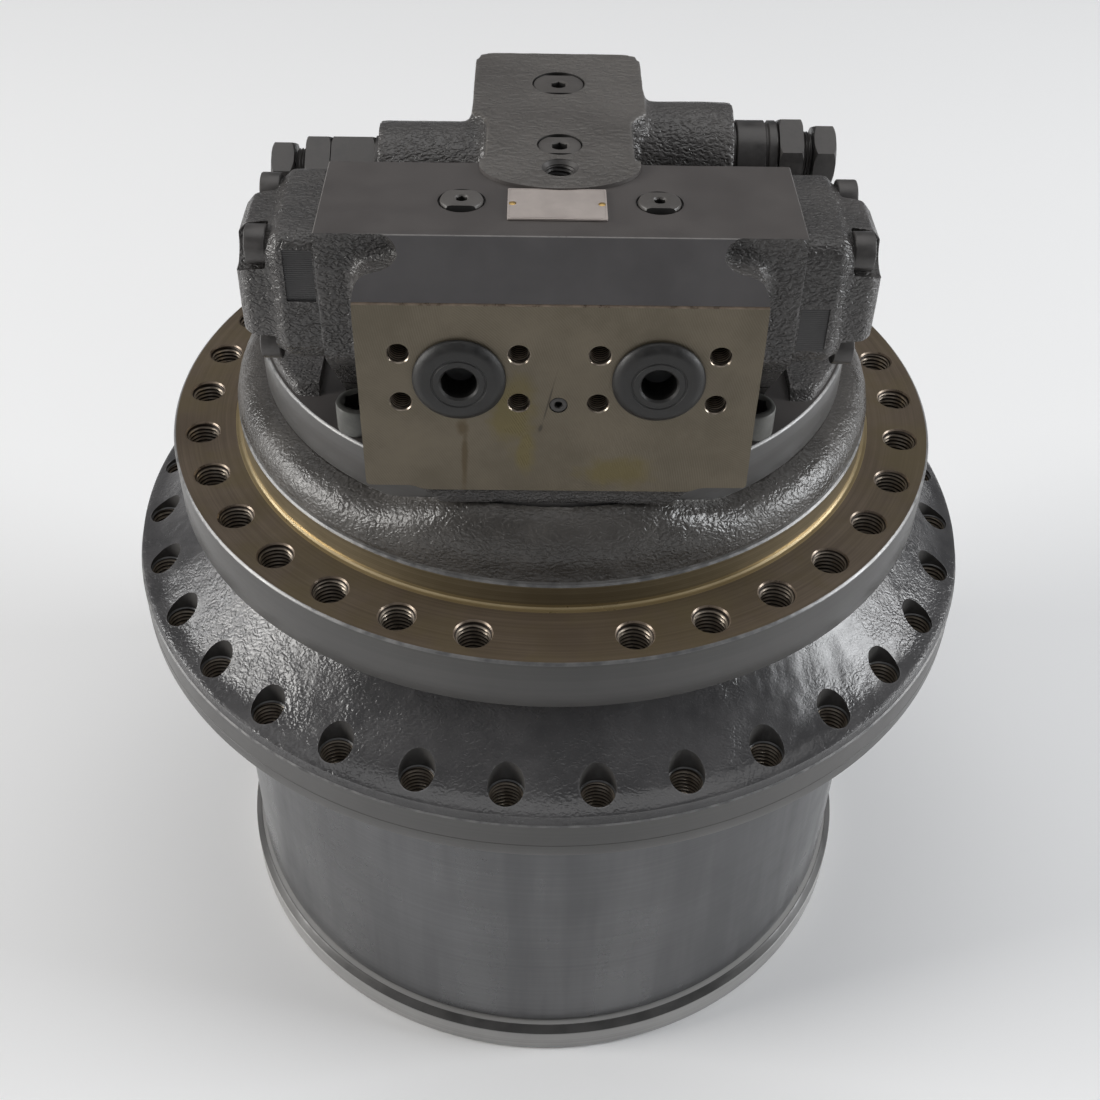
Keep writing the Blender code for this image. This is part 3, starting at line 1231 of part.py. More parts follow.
def build_second_stage():
    sun = external_gear(SUN_2_TEETH, sun_turn(SUN_2_TEETH, PLANET_2_TEETH))
    bore = circle(SUN_2_BORE_RADIUS, PIN_STEPS)
    place("sun_gear_2", prism([sun, bore], CARRIER_1_BASE, STAGE_2_TOP), "gear_steel")
    build_planets(2, PLANET_2_TEETH, PLANET_2_CIRCLE, STAGE_2_BASE, STAGE_2_TOP, PIN_2_RADIUS)
    build_pins(2, PLANET_2_CIRCLE, STAGE_2_BASE, CARRIER_2_TOP, PIN_2_RADIUS)
    # The fixed carrier cups the end of the spindle and holds the lower bearing up.
    inside = SPINDLE_RADIUS + SEAT_GAP
    outline = [
        (SUN_2_BORE_RADIUS, CARRIER_2_BASE),
        (COLLAR_RADIUS, CARRIER_2_BASE),
        (COLLAR_RADIUS, LOWER_BEARING_BASE - SEAT_GAP),
        (inside, LOWER_BEARING_BASE - SEAT_GAP),
        (inside, CARRIER_2_TOP),
        (SUN_2_BORE_RADIUS, CARRIER_2_TOP),
    ]
    carrier = place("carrier_2", turned(outline, RACE_STEPS), "gear_steel")
    radius = PIN_2_RADIUS + SEAT_GAP
    work = bmesh.new()
    for spot in orbit_places(PLANET_2_CIRCLE):
        add_prism(work, [circle(radius, PIN_STEPS, spot)], CARRIER_2_BASE - CUT_OVERRUN, CARRIER_2_TOP + CUT_OVERRUN)
    cut(carrier, helper("cut_carrier_pins", work))


# The axial piston motor in the casing

def build_motor():
    shaft = circle(SHAFT_RADIUS, PIN_STEPS)
    place("motor_shaft", prism([shaft], SHAFT_BASE, BLOCK_TOP_FACE), "gear_steel")
    bore = circle(SHAFT_RADIUS + SEAT_GAP, PIN_STEPS)
    barrel = prism([circle(CYLINDER_BLOCK_RADIUS, RACE_STEPS), bore], BLOCK_BASE_FACE, BLOCK_TOP_FACE)
    block = place("cylinder_block", barrel, "gear_steel")
    spots = circle(CYLINDER_CIRCLE, CYLINDER_COUNT)
    low = BLOCK_BASE_FACE - CUT_OVERRUN
    cut(block, hole_set("cut_cylinders", spots, CYLINDER_RADIUS, low, BLOCK_BASE_FACE + CYLINDER_DEPTH, POCKET_STEPS))
    plate = prism([circle(VALVE_PLATE_RADIUS, RACE_STEPS), bore], VALVE_PLATE_BASE, CASING_TOP)
    place("valve_plate", plate, "bronze")
    middle = CAVITY_FLOOR + SWASH_CENTRE_LIFT
    half = SWASH_THICKNESS / 2
    swash = prism([circle(SWASH_RADIUS, RACE_STEPS), circle(SWASH_BORE_RADIUS, PIN_STEPS)], -half, half)
    piece = place("swash_plate", swash, "gear_steel")
    reach = CAVITY_RADIUS * math.cos(math.pi / RACE_STEPS) - SEAT_GAP * 2
    pins = bmesh.new()
    for side in (-1, 1):
        ends = sorted((side * (SWASH_RADIUS - JOIN_DEPTH), side * reach))
        add_prism(pins, [circle(TRUNNION_RADIUS, POCKET_STEPS)], *ends)
    trunnions = helper("join_trunnions", along_x(pins))
    join(piece, trunnions)
    pose = Matrix.Translation((0, 0, middle)) @ Matrix.Rotation(math.radians(SWASH_TILT), 4, 'X')
    piece.matrix_world = pose
    trunnions.matrix_world = pose


def build_brake():
    disc_base = BRAKE_SHOULDER + SEAT_GAP
    inside = CYLINDER_BLOCK_RADIUS + SEAT_GAP
    disc = tube_outline(inside, inside + BRAKE_DISC_REACH, disc_base, disc_base + BRAKE_DISC_THICKNESS)
    place("brake_disc", turned(disc, RACE_STEPS), "bronze")
    base = disc_base + BRAKE_DISC_THICKNESS + SEAT_GAP
    outside = BRAKE_BORE_RADIUS - SEAT_GAP
    piston = tube_outline(outside - BRAKE_PISTON_WALL, outside, base, base + BRAKE_PISTON_HEIGHT)
    place("brake_piston", turned(piston, RACE_STEPS), "gear_steel")


def main():
    clear_scene()
    build_end_cover()
    build_ring_gear()
    build_sprocket_hub()
    build_bearing("lower", LOWER_BEARING_BASE, LOWER_BEARING_TOP)
    build_bearing("upper", UPPER_BEARING_BASE, UPPER_BEARING_TOP)
    build_seal()
    build_motor_casing()
    build_rear_cover()
    build_cover_screws()
    build_spool_cap(-1, "left")
    build_spool_cap(1, "right")
    build_spool()
    build_relief_valve(-1, RELIEF_LEFT_PLACE, "left", HEX_SIDES, RELIEF_BODY_RADIUS)
    build_relief_valve(1, RELIEF_RIGHT_PLACE, "right", PIN_STEPS, RELIEF_ROUND_RADIUS)
    build_port_plugs()
    build_flush_plug("main_gallery_plug", MAIN_GALLERY_PLACE, MAIN_GALLERY_RADIUS)
    build_flush_plug("small_gallery_plug", SMALL_GALLERY_PLACE, SMALL_GALLERY_RADIUS)
    build_check_plug(-1, "left")
    build_check_plug(1, "right")
    build_nameplate()
    build_first_stage()
    build_second_stage()
    build_motor()
    build_brake()


main()
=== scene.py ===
import math

import bmesh
import bpy
import numpy as np
from mathutils import Matrix, Vector, noise


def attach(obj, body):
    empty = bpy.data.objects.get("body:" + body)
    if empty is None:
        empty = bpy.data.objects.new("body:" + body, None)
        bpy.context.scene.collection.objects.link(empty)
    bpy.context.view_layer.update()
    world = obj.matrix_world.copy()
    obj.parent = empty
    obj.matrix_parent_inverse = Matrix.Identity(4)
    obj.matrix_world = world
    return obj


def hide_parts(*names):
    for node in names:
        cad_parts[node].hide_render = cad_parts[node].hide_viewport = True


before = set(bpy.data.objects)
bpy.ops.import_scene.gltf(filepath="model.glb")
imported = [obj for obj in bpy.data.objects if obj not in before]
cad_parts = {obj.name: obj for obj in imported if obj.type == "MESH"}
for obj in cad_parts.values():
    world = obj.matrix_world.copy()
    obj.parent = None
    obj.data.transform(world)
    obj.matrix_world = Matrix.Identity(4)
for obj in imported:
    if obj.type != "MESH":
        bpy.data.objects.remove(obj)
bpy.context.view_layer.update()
scene = bpy.context.scene

# small tools


def addNode(tree, kind, values=None, **settings):
    node = tree.nodes.new(kind)
    for key, value in settings.items():
        setattr(node, key, value)
    for key, value in (values or {}).items():
        if isinstance(value, bpy.types.NodeSocket):
            tree.links.new(value, node.inputs[key])
        else:
            node.inputs[key].default_value = value
    return node


def calc(tree, operation, a, b=0.0, c=0.0):
    return addNode(tree, "ShaderNodeMath", {0: a, 1: b, 2: c}, operation=operation).outputs[0]


def plus(tree, a, b):
    return calc(tree, "ADD", a, b)


def minus(tree, a, b):
    return calc(tree, "SUBTRACT", a, b)


def times(tree, a, b):
    return calc(tree, "MULTIPLY", a, b)


def scaled(tree, value, factor, offset):
    return calc(tree, "MULTIPLY_ADD", value, factor, offset)


def remap(tree, value, low, high, start=0.0, end=1.0):
    node = addNode(
        tree, "ShaderNodeMapRange", {0: value, 1: low, 2: high, 3: start, 4: end},
        interpolation_type="SMOOTHSTEP")
    return node.outputs[0]


def mixColour(tree, amount, a, b):
    a, b = ((*value, 1) if isinstance(value, tuple) else value for value in (a, b))
    return addNode(tree, "ShaderNodeMix", {0: amount, 6: a, 7: b}, data_type="RGBA").outputs[2]


def mixValue(tree, amount, a, b):
    return addNode(tree, "ShaderNodeMix", {0: amount, 2: a, 3: b}, data_type="FLOAT").outputs[0]


def distance(tree, a, b):
    return calc(tree, "SQRT", plus(tree, times(tree, a, a), times(tree, b, b)))


def objectSpace(tree):
    return addNode(tree, "ShaderNodeTexCoord").outputs["Object"]


def objectAxes(tree):
    return addNode(tree, "ShaderNodeSeparateXYZ", {0: objectSpace(tree)}).outputs


def combine(tree, x, y, z):
    return addNode(tree, "ShaderNodeCombineXYZ", {0: x, 1: y, 2: z}).outputs[0]


def attribute(tree, name):
    return addNode(tree, "ShaderNodeAttribute", attribute_name=name).outputs["Fac"]


def noiseAt(tree, place, scale, detail=3.0, rough=0.55):
    values = {"Vector": place, "Scale": scale, "Detail": detail, "Roughness": rough}
    return addNode(tree, "ShaderNodeTexNoise", values).outputs["Fac"]


def noiseHere(tree, scale, detail=3.0, rough=0.55):
    return noiseAt(tree, objectSpace(tree), scale, detail, rough)


def newGroup(name, inputs, outputs):
    tree = bpy.data.node_groups.new(name, "ShaderNodeTree")
    for label, value in inputs.items():
        socket = tree.interface.new_socket(label, in_out="INPUT", socket_type="NodeSocketFloat")
        socket.default_value = value
    for label in outputs:
        tree.interface.new_socket(label, in_out="OUTPUT", socket_type="NodeSocketFloat")
    return tree, addNode(tree, "NodeGroupInput").outputs, addNode(tree, "NodeGroupOutput")


def useGroup(tree, group, **values):
    return addNode(tree, "ShaderNodeGroup", values, node_tree=group).outputs


def send(tree, node, **values):
    for key, value in values.items():
        tree.links.new(value, node.inputs[key])
    return tree


# shader groups
print("shader groups")


def makeCastSkin():
    # leathery ripples of a sand casting under thick paint, and lighter specks that are a painted highlight
    tree, into, out = newGroup(
        "castSkin", {"Scale": 1.0, "Ripple": 1.0, "Calm": 1.0}, ["Height", "Tone", "Fleck"])
    place = objectSpace(tree)
    sized = addNode(tree, "ShaderNodeVectorMath", {0: place, "Scale": into["Scale"]}, operation="SCALE")
    warp = addNode(tree, "ShaderNodeTexNoise", {"Vector": sized.outputs[0], "Scale": 190.0, "Detail": 2.0})
    bend = addNode(
        tree, "ShaderNodeVectorMath", {0: warp.outputs["Color"], "Scale": 0.006}, operation="SCALE")
    moved = addNode(
        tree, "ShaderNodeVectorMath", {0: sized.outputs[0], 1: bend.outputs[0]}, operation="ADD")
    flat = addNode(tree, "ShaderNodeMapping", {"Vector": moved.outputs[0], "Scale": (0.62, 1.0, 1.25)})
    cells = addNode(
        tree, "ShaderNodeTexVoronoi", {"Vector": flat.outputs[0], "Scale": 560.0, "Smoothness": 0.8},
        feature="SMOOTH_F1")
    grain = noiseAt(tree, sized.outputs[0], 900.0, 4.0, 0.6)
    broad = noiseAt(tree, sized.outputs[0], 70.0, 3.0, 0.5)
    zone = remap(tree, noiseAt(tree, place, 16.0, 2.0, 0.5), 0.40, 0.60, into["Calm"], 1.0)
    ripple = times(tree, remap(tree, cells.outputs["Distance"], 0.1, 0.75), into["Ripple"])
    ripple = times(tree, ripple, zone)
    height = plus(tree, times(tree, ripple, 0.55), times(tree, grain, 0.22))
    height = plus(tree, height, times(tree, broad, 0.5))
    tone = remap(tree, noiseAt(tree, sized.outputs[0], 24.0, 5.0, 0.6), 0.32, 0.68)
    return send(tree, out, Height=height, Tone=tone, Fleck=remap(tree, grain, 0.58, 0.72))


def makeTurnedLines():
    # rings left by a lathe tool, running round the drive axis
    tree, into, out = newGroup("turnedLines", {"Count": 900.0, "Drift": 1.2}, ["Height", "Tone"])
    place = objectAxes(tree)
    radius = times(tree, distance(tree, place[0], place[1]), into["Count"])
    level = times(tree, place[2], into["Count"])
    drift = times(tree, calc(tree, "SINE", calc(tree, "ARCTAN2", place[1], place[0])), into["Drift"])
    spot = combine(tree, radius, level, drift)
    lines = noiseAt(tree, spot, 1.0, 3.0, 0.6)
    blotch = noiseHere(tree, 13.0, 4.0, 0.6)
    tone = plus(tree, times(tree, lines, 0.5), times(tree, blotch, 0.5))
    return send(tree, out, Height=lines, Tone=remap(tree, tone, 0.35, 0.65))


def makeMillMarks():
    # crossing arcs of a face mill on an upright face
    tree, into, out = newGroup("millMarks", {"Reach": 0.12, "Count": 5200.0}, ["Height", "Tone"])
    place = objectAxes(tree)
    sweeps = []
    for shiftX, shiftZ in ((-0.16, 0.43), (0.15, 0.60)):
        across = minus(tree, place[0], shiftX)
        along = minus(tree, place[2], shiftZ)
        reach = plus(tree, distance(tree, across, along), times(tree, into["Reach"], 0.1))
        sweeps.append(calc(tree, "SINE", times(tree, reach, into["Count"])))
    patch = remap(tree, noiseHere(tree, 16.0, 2.0), 0.4, 0.6)
    marks = mixValue(tree, patch, sweeps[0], sweeps[1])
    fine = noiseHere(tree, 700.0, 3.0)
    height = plus(tree, times(tree, marks, 0.34), times(tree, fine, 0.6))
    tone = scaled(tree, marks, 0.09, noiseHere(tree, 30.0, 4.0, 0.6))
    return send(tree, out, Height=height, Tone=remap(tree, tone, 0.3, 0.7))


def makeEdgeWearAndShade():
    # attributes written on the castings: how proud or how sunk each corner is; proud corners get rubbed
    # paint, sunk corners get dirt and a painted shade
    tree, into, out = newGroup("edgeWear", {"Proud": 0.10, "Sunk": 0.10}, ["Rubbed", "Dirt"])
    patch = remap(tree, noiseHere(tree, 120.0, 4.0, 0.65), 0.35, 0.65)
    rubbed = times(tree, remap(tree, attribute(tree, "proud"), into["Proud"], 0.45), patch)
    sunk = remap(tree, attribute(tree, "sunk"), into["Sunk"], 0.45)
    return send(tree, out, Rubbed=rubbed, Dirt=times(tree, sunk, scaled(tree, patch, 0.5, 0.5)))


def makeOilStains():
    # spots and runs of old oil on the port face; X and Z of each middle, its width and height
    tree, into, out = newGroup("oilStains", {"Edge": 0.35}, ["Oil", "Run", "Stroke"])
    place = objectAxes(tree)
    ragged = scaled(tree, noiseHere(tree, 90.0, 4.0, 0.6), 1.4, -0.7)

    def spot(x, z, wide, high, lean=0.0):
        across = minus(tree, place[0], x)
        along = minus(tree, place[2], z)
        slid = scaled(tree, along, -lean, across)
        a = calc(tree, "DIVIDE", slid, wide)
        b = calc(tree, "DIVIDE", along, high)
        return plus(tree, distance(tree, a, b), ragged)

    def merged(spots):
        near = spots[0]
        for other in spots[1:]:
            near = calc(tree, "MINIMUM", near, other)
        return minus(tree, 1.0, remap(tree, near, into["Edge"], 1.1))

    oil = [
        spot(-0.022, 0.512, 0.014, 0.026), spot(-0.016, 0.489, 0.006, 0.018),
        spot(0.030, 0.476, 0.022, 0.012)]
    run = [spot(-0.0462, 0.484, 0.0019, 0.024, 0.03), spot(-0.047, 0.502, 0.0035, 0.005)]
    line = spot(-0.0045, 0.520, 0.0007, 0.021, 0.22)
    foot = spot(-0.0086, 0.503, 0.0016, 0.004, 0.22)
    stroke = minus(tree, 1.0, remap(tree, calc(tree, "MINIMUM", line, foot), 0.3, 0.9))
    return send(tree, out, Oil=merged(oil), Run=merged(run), Stroke=stroke)


def makeFilmAndReflectionStreaks():
    # where an old oil film lies on turned metal; a low Upright draws it out along the drive axis into
    # upright bands, which on the drum are a painted reflection
    tree, into, out = newGroup("wipedFilm", {"Upright": 1.0}, ["Film"])
    place = objectAxes(tree)
    level = times(tree, place[2], into["Upright"])
    spot = combine(tree, place[0], place[1], level)
    cloud = scaled(
        tree, noiseAt(tree, spot, 14.0, 3.0, 0.5), 0.65,
        times(tree, noiseAt(tree, spot, 45.0, 3.0, 0.6), 0.35))
    return send(tree, out, Film=remap(tree, cloud, 0.40, 0.62))


castSkin = makeCastSkin()
wipedFilm = makeFilmAndReflectionStreaks()
turnedLines = makeTurnedLines()
millMarks = makeMillMarks()
edgeWear = makeEdgeWearAndShade()
oilStains = makeOilStains()

# materials
print("materials")


def newMaterial(name, rough, metal=0.0, specular=0.5):
    material = bpy.data.materials.new(name)
    material.use_nodes = True
    tree = material.node_tree
    shader = tree.nodes["Principled BSDF"]
    shader.inputs["Roughness"].default_value = rough
    shader.inputs["Metallic"].default_value = metal
    shader.inputs["Specular IOR Level"].default_value = specular
    return material, tree


def finishMaterial(material, colour, rough, height=None, depth=0.0):
    tree = material.node_tree
    shader = tree.nodes["Principled BSDF"]
    tree.links.new(colour, shader.inputs["Base Color"])
    tree.links.new(rough, shader.inputs["Roughness"])
    if height is not None:
        bump = addNode(tree, "ShaderNodeBump", {"Height": height, "Distance": depth})
        tree.links.new(bump.outputs["Normal"], shader.inputs["Normal"])
    return material


def castPaintMaterial(
        name, dark, light, rubbedAndGlintTone, ripple=1.0, depth=0.00045, roughness=(0.25, 0.42), scale=1.0,
        calm=1.0):
    material, tree = newMaterial(name, 0.38)
    skin = useGroup(tree, castSkin, Scale=scale, Ripple=ripple, Calm=calm)
    wearAndShade = useGroup(tree, edgeWear)
    colour = mixColour(tree, skin["Tone"], dark, light)
    # lighter specks on the skin: a painted highlight of glints
    colour = mixColour(tree, times(tree, skin["Fleck"], 0.25), colour, rubbedAndGlintTone)
    colour = mixColour(tree, times(tree, wearAndShade["Rubbed"], 0.65), colour, rubbedAndGlintTone)
    # sunk corners darker: dirt and a painted shade
    colour = mixColour(tree, times(tree, wearAndShade["Dirt"], 0.7), colour, (0.018, 0.016, 0.014))
    rough = scaled(tree, wearAndShade["Dirt"], 0.3, mixValue(tree, skin["Tone"], roughness[0], roughness[1]))
    return finishMaterial(material, colour, rough, skin["Height"], depth)


def turnedMaterial(
        name, dark, light, rough, metal, count=900.0, depth=0.00008, blotch=0.12, film=None, upright=1.0):
    material, tree = newMaterial(name, rough, metal)
    lines = useGroup(tree, turnedLines, Count=count)
    colour = mixColour(tree, lines["Tone"], dark, light)
    patch = noiseHere(tree, 22.0, 4.0, 0.6)
    roughness = scaled(tree, patch, blotch * 2, rough - blotch)
    if film:
        # an old oil film over the metal in clouds; upright bands instead are a painted reflection
        filmAndReflectionMask = useGroup(tree, wipedFilm, Upright=upright)
        colour = mixColour(tree, times(tree, filmAndReflectionMask["Film"], 0.6), colour, film)
        roughness = scaled(tree, filmAndReflectionMask["Film"], 0.10, roughness)
    return finishMaterial(material, colour, roughness, lines["Height"], depth)


def plainMaterial(
        name, dark, light, rough, metal=0.0, scale=60.0, grain=600.0, depth=0.00006, blotch=0.1, ribs=0.0):
    material, tree = newMaterial(name, rough, metal)
    patch = remap(tree, noiseHere(tree, scale, 5.0, 0.6), 0.3, 0.7)
    colour = mixColour(tree, patch, dark, light)
    roughness = scaled(tree, patch, blotch * 2, rough - blotch)
    height = noiseHere(tree, grain, 3.0, 0.6)
    if ribs:
        # level passes of a small cutter
        height = scaled(tree, calc(tree, "SINE", times(tree, objectAxes(tree)[2], ribs)), 0.8, height)
    return finishMaterial(material, colour, roughness, height, depth)


def portFaceMaterial():
    material, tree = newMaterial("portSteel", 0.46, 0.35)
    marks = useGroup(tree, millMarks)
    stains = useGroup(tree, oilStains)
    colour = mixColour(tree, marks["Tone"], (0.112, 0.093, 0.062), (0.168, 0.141, 0.100))
    colour = mixColour(tree, times(tree, stains["Oil"], 0.75), colour, (0.128, 0.100, 0.026))
    colour = mixColour(tree, times(tree, stains["Run"], 0.7), colour, (0.075, 0.048, 0.016))
    colour = mixColour(tree, times(tree, stains["Stroke"], 0.7), colour, (0.030, 0.022, 0.016))
    rough = scaled(tree, stains["Oil"], -0.14, scaled(tree, marks["Tone"], 0.16, 0.38))
    return finishMaterial(material, colour, rough, marks["Height"], 0.00005)


def threadMaterial():
    material, tree = newMaterial("threadSteel", 0.32, 0.55)
    groove = attribute(tree, "groove")
    patch = remap(tree, noiseHere(tree, 160.0, 4.0, 0.6), 0.3, 0.7)
    crest = mixColour(tree, patch, (0.27, 0.225, 0.175), (0.44, 0.38, 0.31))
    # the thread valleys near black: a painted shade
    colour = mixColour(tree, remap(tree, groove, 0.25, 0.8), crest, (0.030, 0.022, 0.016))
    return finishMaterial(material, colour, scaled(tree, groove, 0.35, 0.26))


castPaint = castPaintMaterial(
    "castPaint", (0.054, 0.051, 0.049), (0.078, 0.073, 0.070), (0.17, 0.16, 0.155), ripple=1.3,
    depth=0.0007, roughness=(0.22, 0.38), scale=1.1)
conePaint = castPaintMaterial(
    "conePaint", (0.044, 0.043, 0.044), (0.066, 0.064, 0.065), (0.17, 0.165, 0.165), ripple=0.75,
    depth=0.00042, roughness=(0.15, 0.29), calm=0.12)
crownPaint = castPaintMaterial(
    "crownPaint", (0.050, 0.046, 0.042), (0.074, 0.068, 0.062), (0.18, 0.17, 0.155), depth=0.0005,
    roughness=(0.22, 0.40), calm=0.8)
# a lighter copy of the cast paint with a coarser skin; the lighter colour is painted light on the tower's
# upward faces
towerPaint = castPaintMaterial(
    "towerPaint", (0.080, 0.073, 0.067), (0.106, 0.098, 0.090), (0.18, 0.17, 0.16), ripple=1.5,
    depth=0.0010, roughness=(0.36, 0.50), scale=0.62, calm=0.5)
plugPaint = castPaintMaterial(
    "plugPaint", (0.072, 0.066, 0.061), (0.094, 0.087, 0.081), (0.14, 0.13, 0.125), ripple=0.3,
    depth=0.0002, roughness=(0.38, 0.50))
machinedPaint = plainMaterial(
    "machinedPaint", (0.066, 0.059, 0.056), (0.079, 0.071, 0.067), 0.42, scale=26.0, depth=0.00003,
    blotch=0.06)
# a darker, bluer copy of the machined paint for the sloping band: a painted shade on the forward-facing
# slope
bandPaint = plainMaterial(
    "bandPaint", (0.058, 0.055, 0.056), (0.070, 0.066, 0.067), 0.38, scale=26.0, depth=0.00003, blotch=0.05)
ribbedPaint = plainMaterial(
    "ribbedPaint", (0.040, 0.039, 0.039), (0.052, 0.050, 0.050), 0.40, 0.0, 60.0, blotch=0.05, ribs=5600.0)
# a light colour for the small ridges along the block top: a painted edge highlight
ridgePaint = plainMaterial("ridgePaint", (0.11, 0.103, 0.098), (0.17, 0.160, 0.152), 0.36, scale=140.0)
turnedPaint = turnedMaterial(
    "turnedPaint", (0.060, 0.058, 0.056), (0.074, 0.071, 0.068), 0.36, 0.0, 500.0, 0.00005)
# pale lines on chamfers, edges and seams: a painted edge highlight
paleEdge = plainMaterial("paleEdge", (0.13, 0.13, 0.13), (0.21, 0.207, 0.203), 0.38, 0.5, 140.0)
brownSteel = turnedMaterial(
    "brownSteel", (0.090, 0.066, 0.044), (0.142, 0.108, 0.076), 0.46, 0.35, 700.0, 0.00005,
    film=(0.105, 0.080, 0.034))
spigotSteel = turnedMaterial(
    "spigotSteel", (0.150, 0.118, 0.068), (0.225, 0.182, 0.115), 0.38, 0.45, 900.0, 0.00005)
# a bright gold copy of the spigot steel for its foot fillet: a painted edge highlight
goldEdge = turnedMaterial("goldEdge", (0.30, 0.23, 0.12), (0.46, 0.37, 0.22), 0.30, 0.7, 900.0, 0.00003)
# the drum's darker upright bands: a painted reflection
drumSteel = turnedMaterial(
    "drumSteel", (0.130, 0.130, 0.133), (0.158, 0.158, 0.162), 0.26, 0.75, 420.0, 0.00002,
    film=(0.085, 0.086, 0.090), upright=0.08)
coverSteel = turnedMaterial(
    "coverSteel", (0.27, 0.266, 0.26), (0.35, 0.344, 0.336), 0.40, 0.3, 500.0, 0.00005)
# near black for grooves, bores and sockets: a painted shade in the recesses
darkGroove = plainMaterial("darkGroove", (0.012, 0.011, 0.010), (0.026, 0.024, 0.022), 0.6)
threadSteel = threadMaterial()
# a lighter warm copy of the bare steel for chamfers: a painted edge highlight
warmEdge = plainMaterial("warmEdge", (0.15, 0.115, 0.085), (0.26, 0.205, 0.155), 0.34, 0.45, 160.0)
# a dark grey for the end cover's top bevel, plug recesses and flats: a painted shade
coverEdge = plainMaterial("coverEdge", (0.040, 0.039, 0.038), (0.058, 0.056, 0.054), 0.42, 0.2)
screwSteel = plainMaterial("screwSteel", (0.085, 0.085, 0.078), (0.125, 0.124, 0.115), 0.40, 0.4, 120.0)
blackOxide = plainMaterial("blackOxide", (0.052, 0.049, 0.047), (0.078, 0.073, 0.070), 0.40, 0.25, 120.0)
rubber = plainMaterial(
    "plugRubber", (0.011, 0.0105, 0.010), (0.019, 0.018, 0.017), 0.46, 0.0, 150.0, 900.0, 0.00010)
plate = plainMaterial(
    "plateMetal", (0.38, 0.335, 0.31), (0.44, 0.39, 0.36), 0.50, 0.2, 90.0, 1200.0, 0.00003, 0.04)
brass = plainMaterial("brass", (0.42, 0.27, 0.09), (0.58, 0.40, 0.16), 0.32, 0.8, 400.0)
portSteel = portFaceMaterial()
gearSteel = turnedMaterial(
    "gearSteel", (0.20, 0.195, 0.185), (0.30, 0.29, 0.28), 0.34, 0.75, 700.0, 0.00004)
bearingSteel = turnedMaterial(
    "bearingSteel", (0.36, 0.36, 0.36), (0.50, 0.50, 0.50), 0.22, 0.9, 900.0, 0.00003)
bronze = turnedMaterial("bronze", (0.30, 0.19, 0.09), (0.42, 0.28, 0.14), 0.36, 0.75, 700.0, 0.00004)

# mesh tools


def meshObject(name, vertices, faces, materials):
    mesh = bpy.data.meshes.new(name)
    mesh.from_pydata([tuple(v) for v in vertices], [], faces)
    for material in materials:
        mesh.materials.append(material)
    piece = bpy.data.objects.new(name, mesh)
    scene.collection.objects.link(piece)
    return piece


def ringFaces(one, two, count):
    # the faces between two rings of corners, given by the number of each ring's first corner
    return [(one + i, one + (i + 1) % count, two + (i + 1) % count, two + i) for i in range(count)]


def turnOutward(piece):
    work = bmesh.new()
    work.from_mesh(piece.data)
    bmesh.ops.recalc_face_normals(work, faces=work.faces[:])
    work.to_mesh(piece.data)
    work.free()
    return piece


def finishSurface(piece, angle=32.0):
    mesh = piece.data
    flat = {
        index for index, slot in enumerate(mesh.materials)
        if slot and slot.name in ("machinedPaint", "bandPaint", "portSteel")}
    mesh.polygons.foreach_set("use_smooth", [face.material_index not in flat for face in mesh.polygons])
    mesh.set_sharp_from_angle(angle=math.radians(angle))
    mesh.update()
    return piece


def applyModifiers(piece):
    bpy.context.view_layer.update()
    graph = bpy.context.evaluated_depsgraph_get()
    mesh = bpy.data.meshes.new_from_object(
        piece.evaluated_get(graph), preserve_all_data_layers=True, depsgraph=graph)
    mesh.name = piece.name
    piece.modifiers.clear()
    piece.data = mesh
    return piece


def boolean(piece, tool, operation="DIFFERENCE"):
    modifier = piece.modifiers.new("machining", "BOOLEAN")
    modifier.operation = operation
    modifier.solver = "EXACT"
    modifier.object = tool
    modifier.material_mode = "TRANSFER"
    applyModifiers(piece)
    bpy.data.objects.remove(tool)
    return piece


def merge(name, pieces):
    # one object out of several, their material slots kept apart
    materials = []
    work = bmesh.new()
    for piece in pieces:
        start = len(work.faces)
        work.from_mesh(piece.data)
        work.faces.ensure_lookup_table()
        own = [slot if slot is not None else castPaint for slot in piece.data.materials] or [castPaint]
        for material in own:
            if material not in materials:
                materials.append(material)
        for face in work.faces[start:]:
            face.material_index = materials.index(own[min(face.material_index, len(own) - 1)])
        bpy.data.objects.remove(piece)
    mesh = bpy.data.meshes.new(name)
    work.to_mesh(mesh)
    work.free()
    for material in materials:
        mesh.materials.append(material)
    piece = bpy.data.objects.new(name, mesh)
    scene.collection.objects.link(piece)
    return piece


def paintBy(piece, materials, rule):
    # the rule gets a face's distance from the drive axis, its height and how far it looks up;
    # it gives the material, or None to leave the face as it is
    mesh = piece.data
    for material in materials:
        if material.name not in mesh.materials:
            mesh.materials.append(material)
    places = {slot.name: index for index, slot in enumerate(mesh.materials) if slot}
    for face in mesh.polygons:
        chosen = rule(math.hypot(face.center.x, face.center.y), face.center.z, face.normal.z)
        if chosen is not None:
            face.material_index = places[chosen.name]
    return piece


def rectangle(lowA, lowB, highA, highB):
    return [(lowA, lowB), (highA, lowB), (highA, highB), (lowA, highB)]


def polar(radius, degrees, middle=(0.0, 0.0)):
    angle = math.radians(degrees)
    return middle[0] + radius * math.cos(angle), middle[1] + radius * math.sin(angle)


def halfRound(radius, middle, steps=24):
    # the upper half of a circle, from right to left
    return [polar(radius, 180 * step / steps, middle) for step in range(steps + 1)]


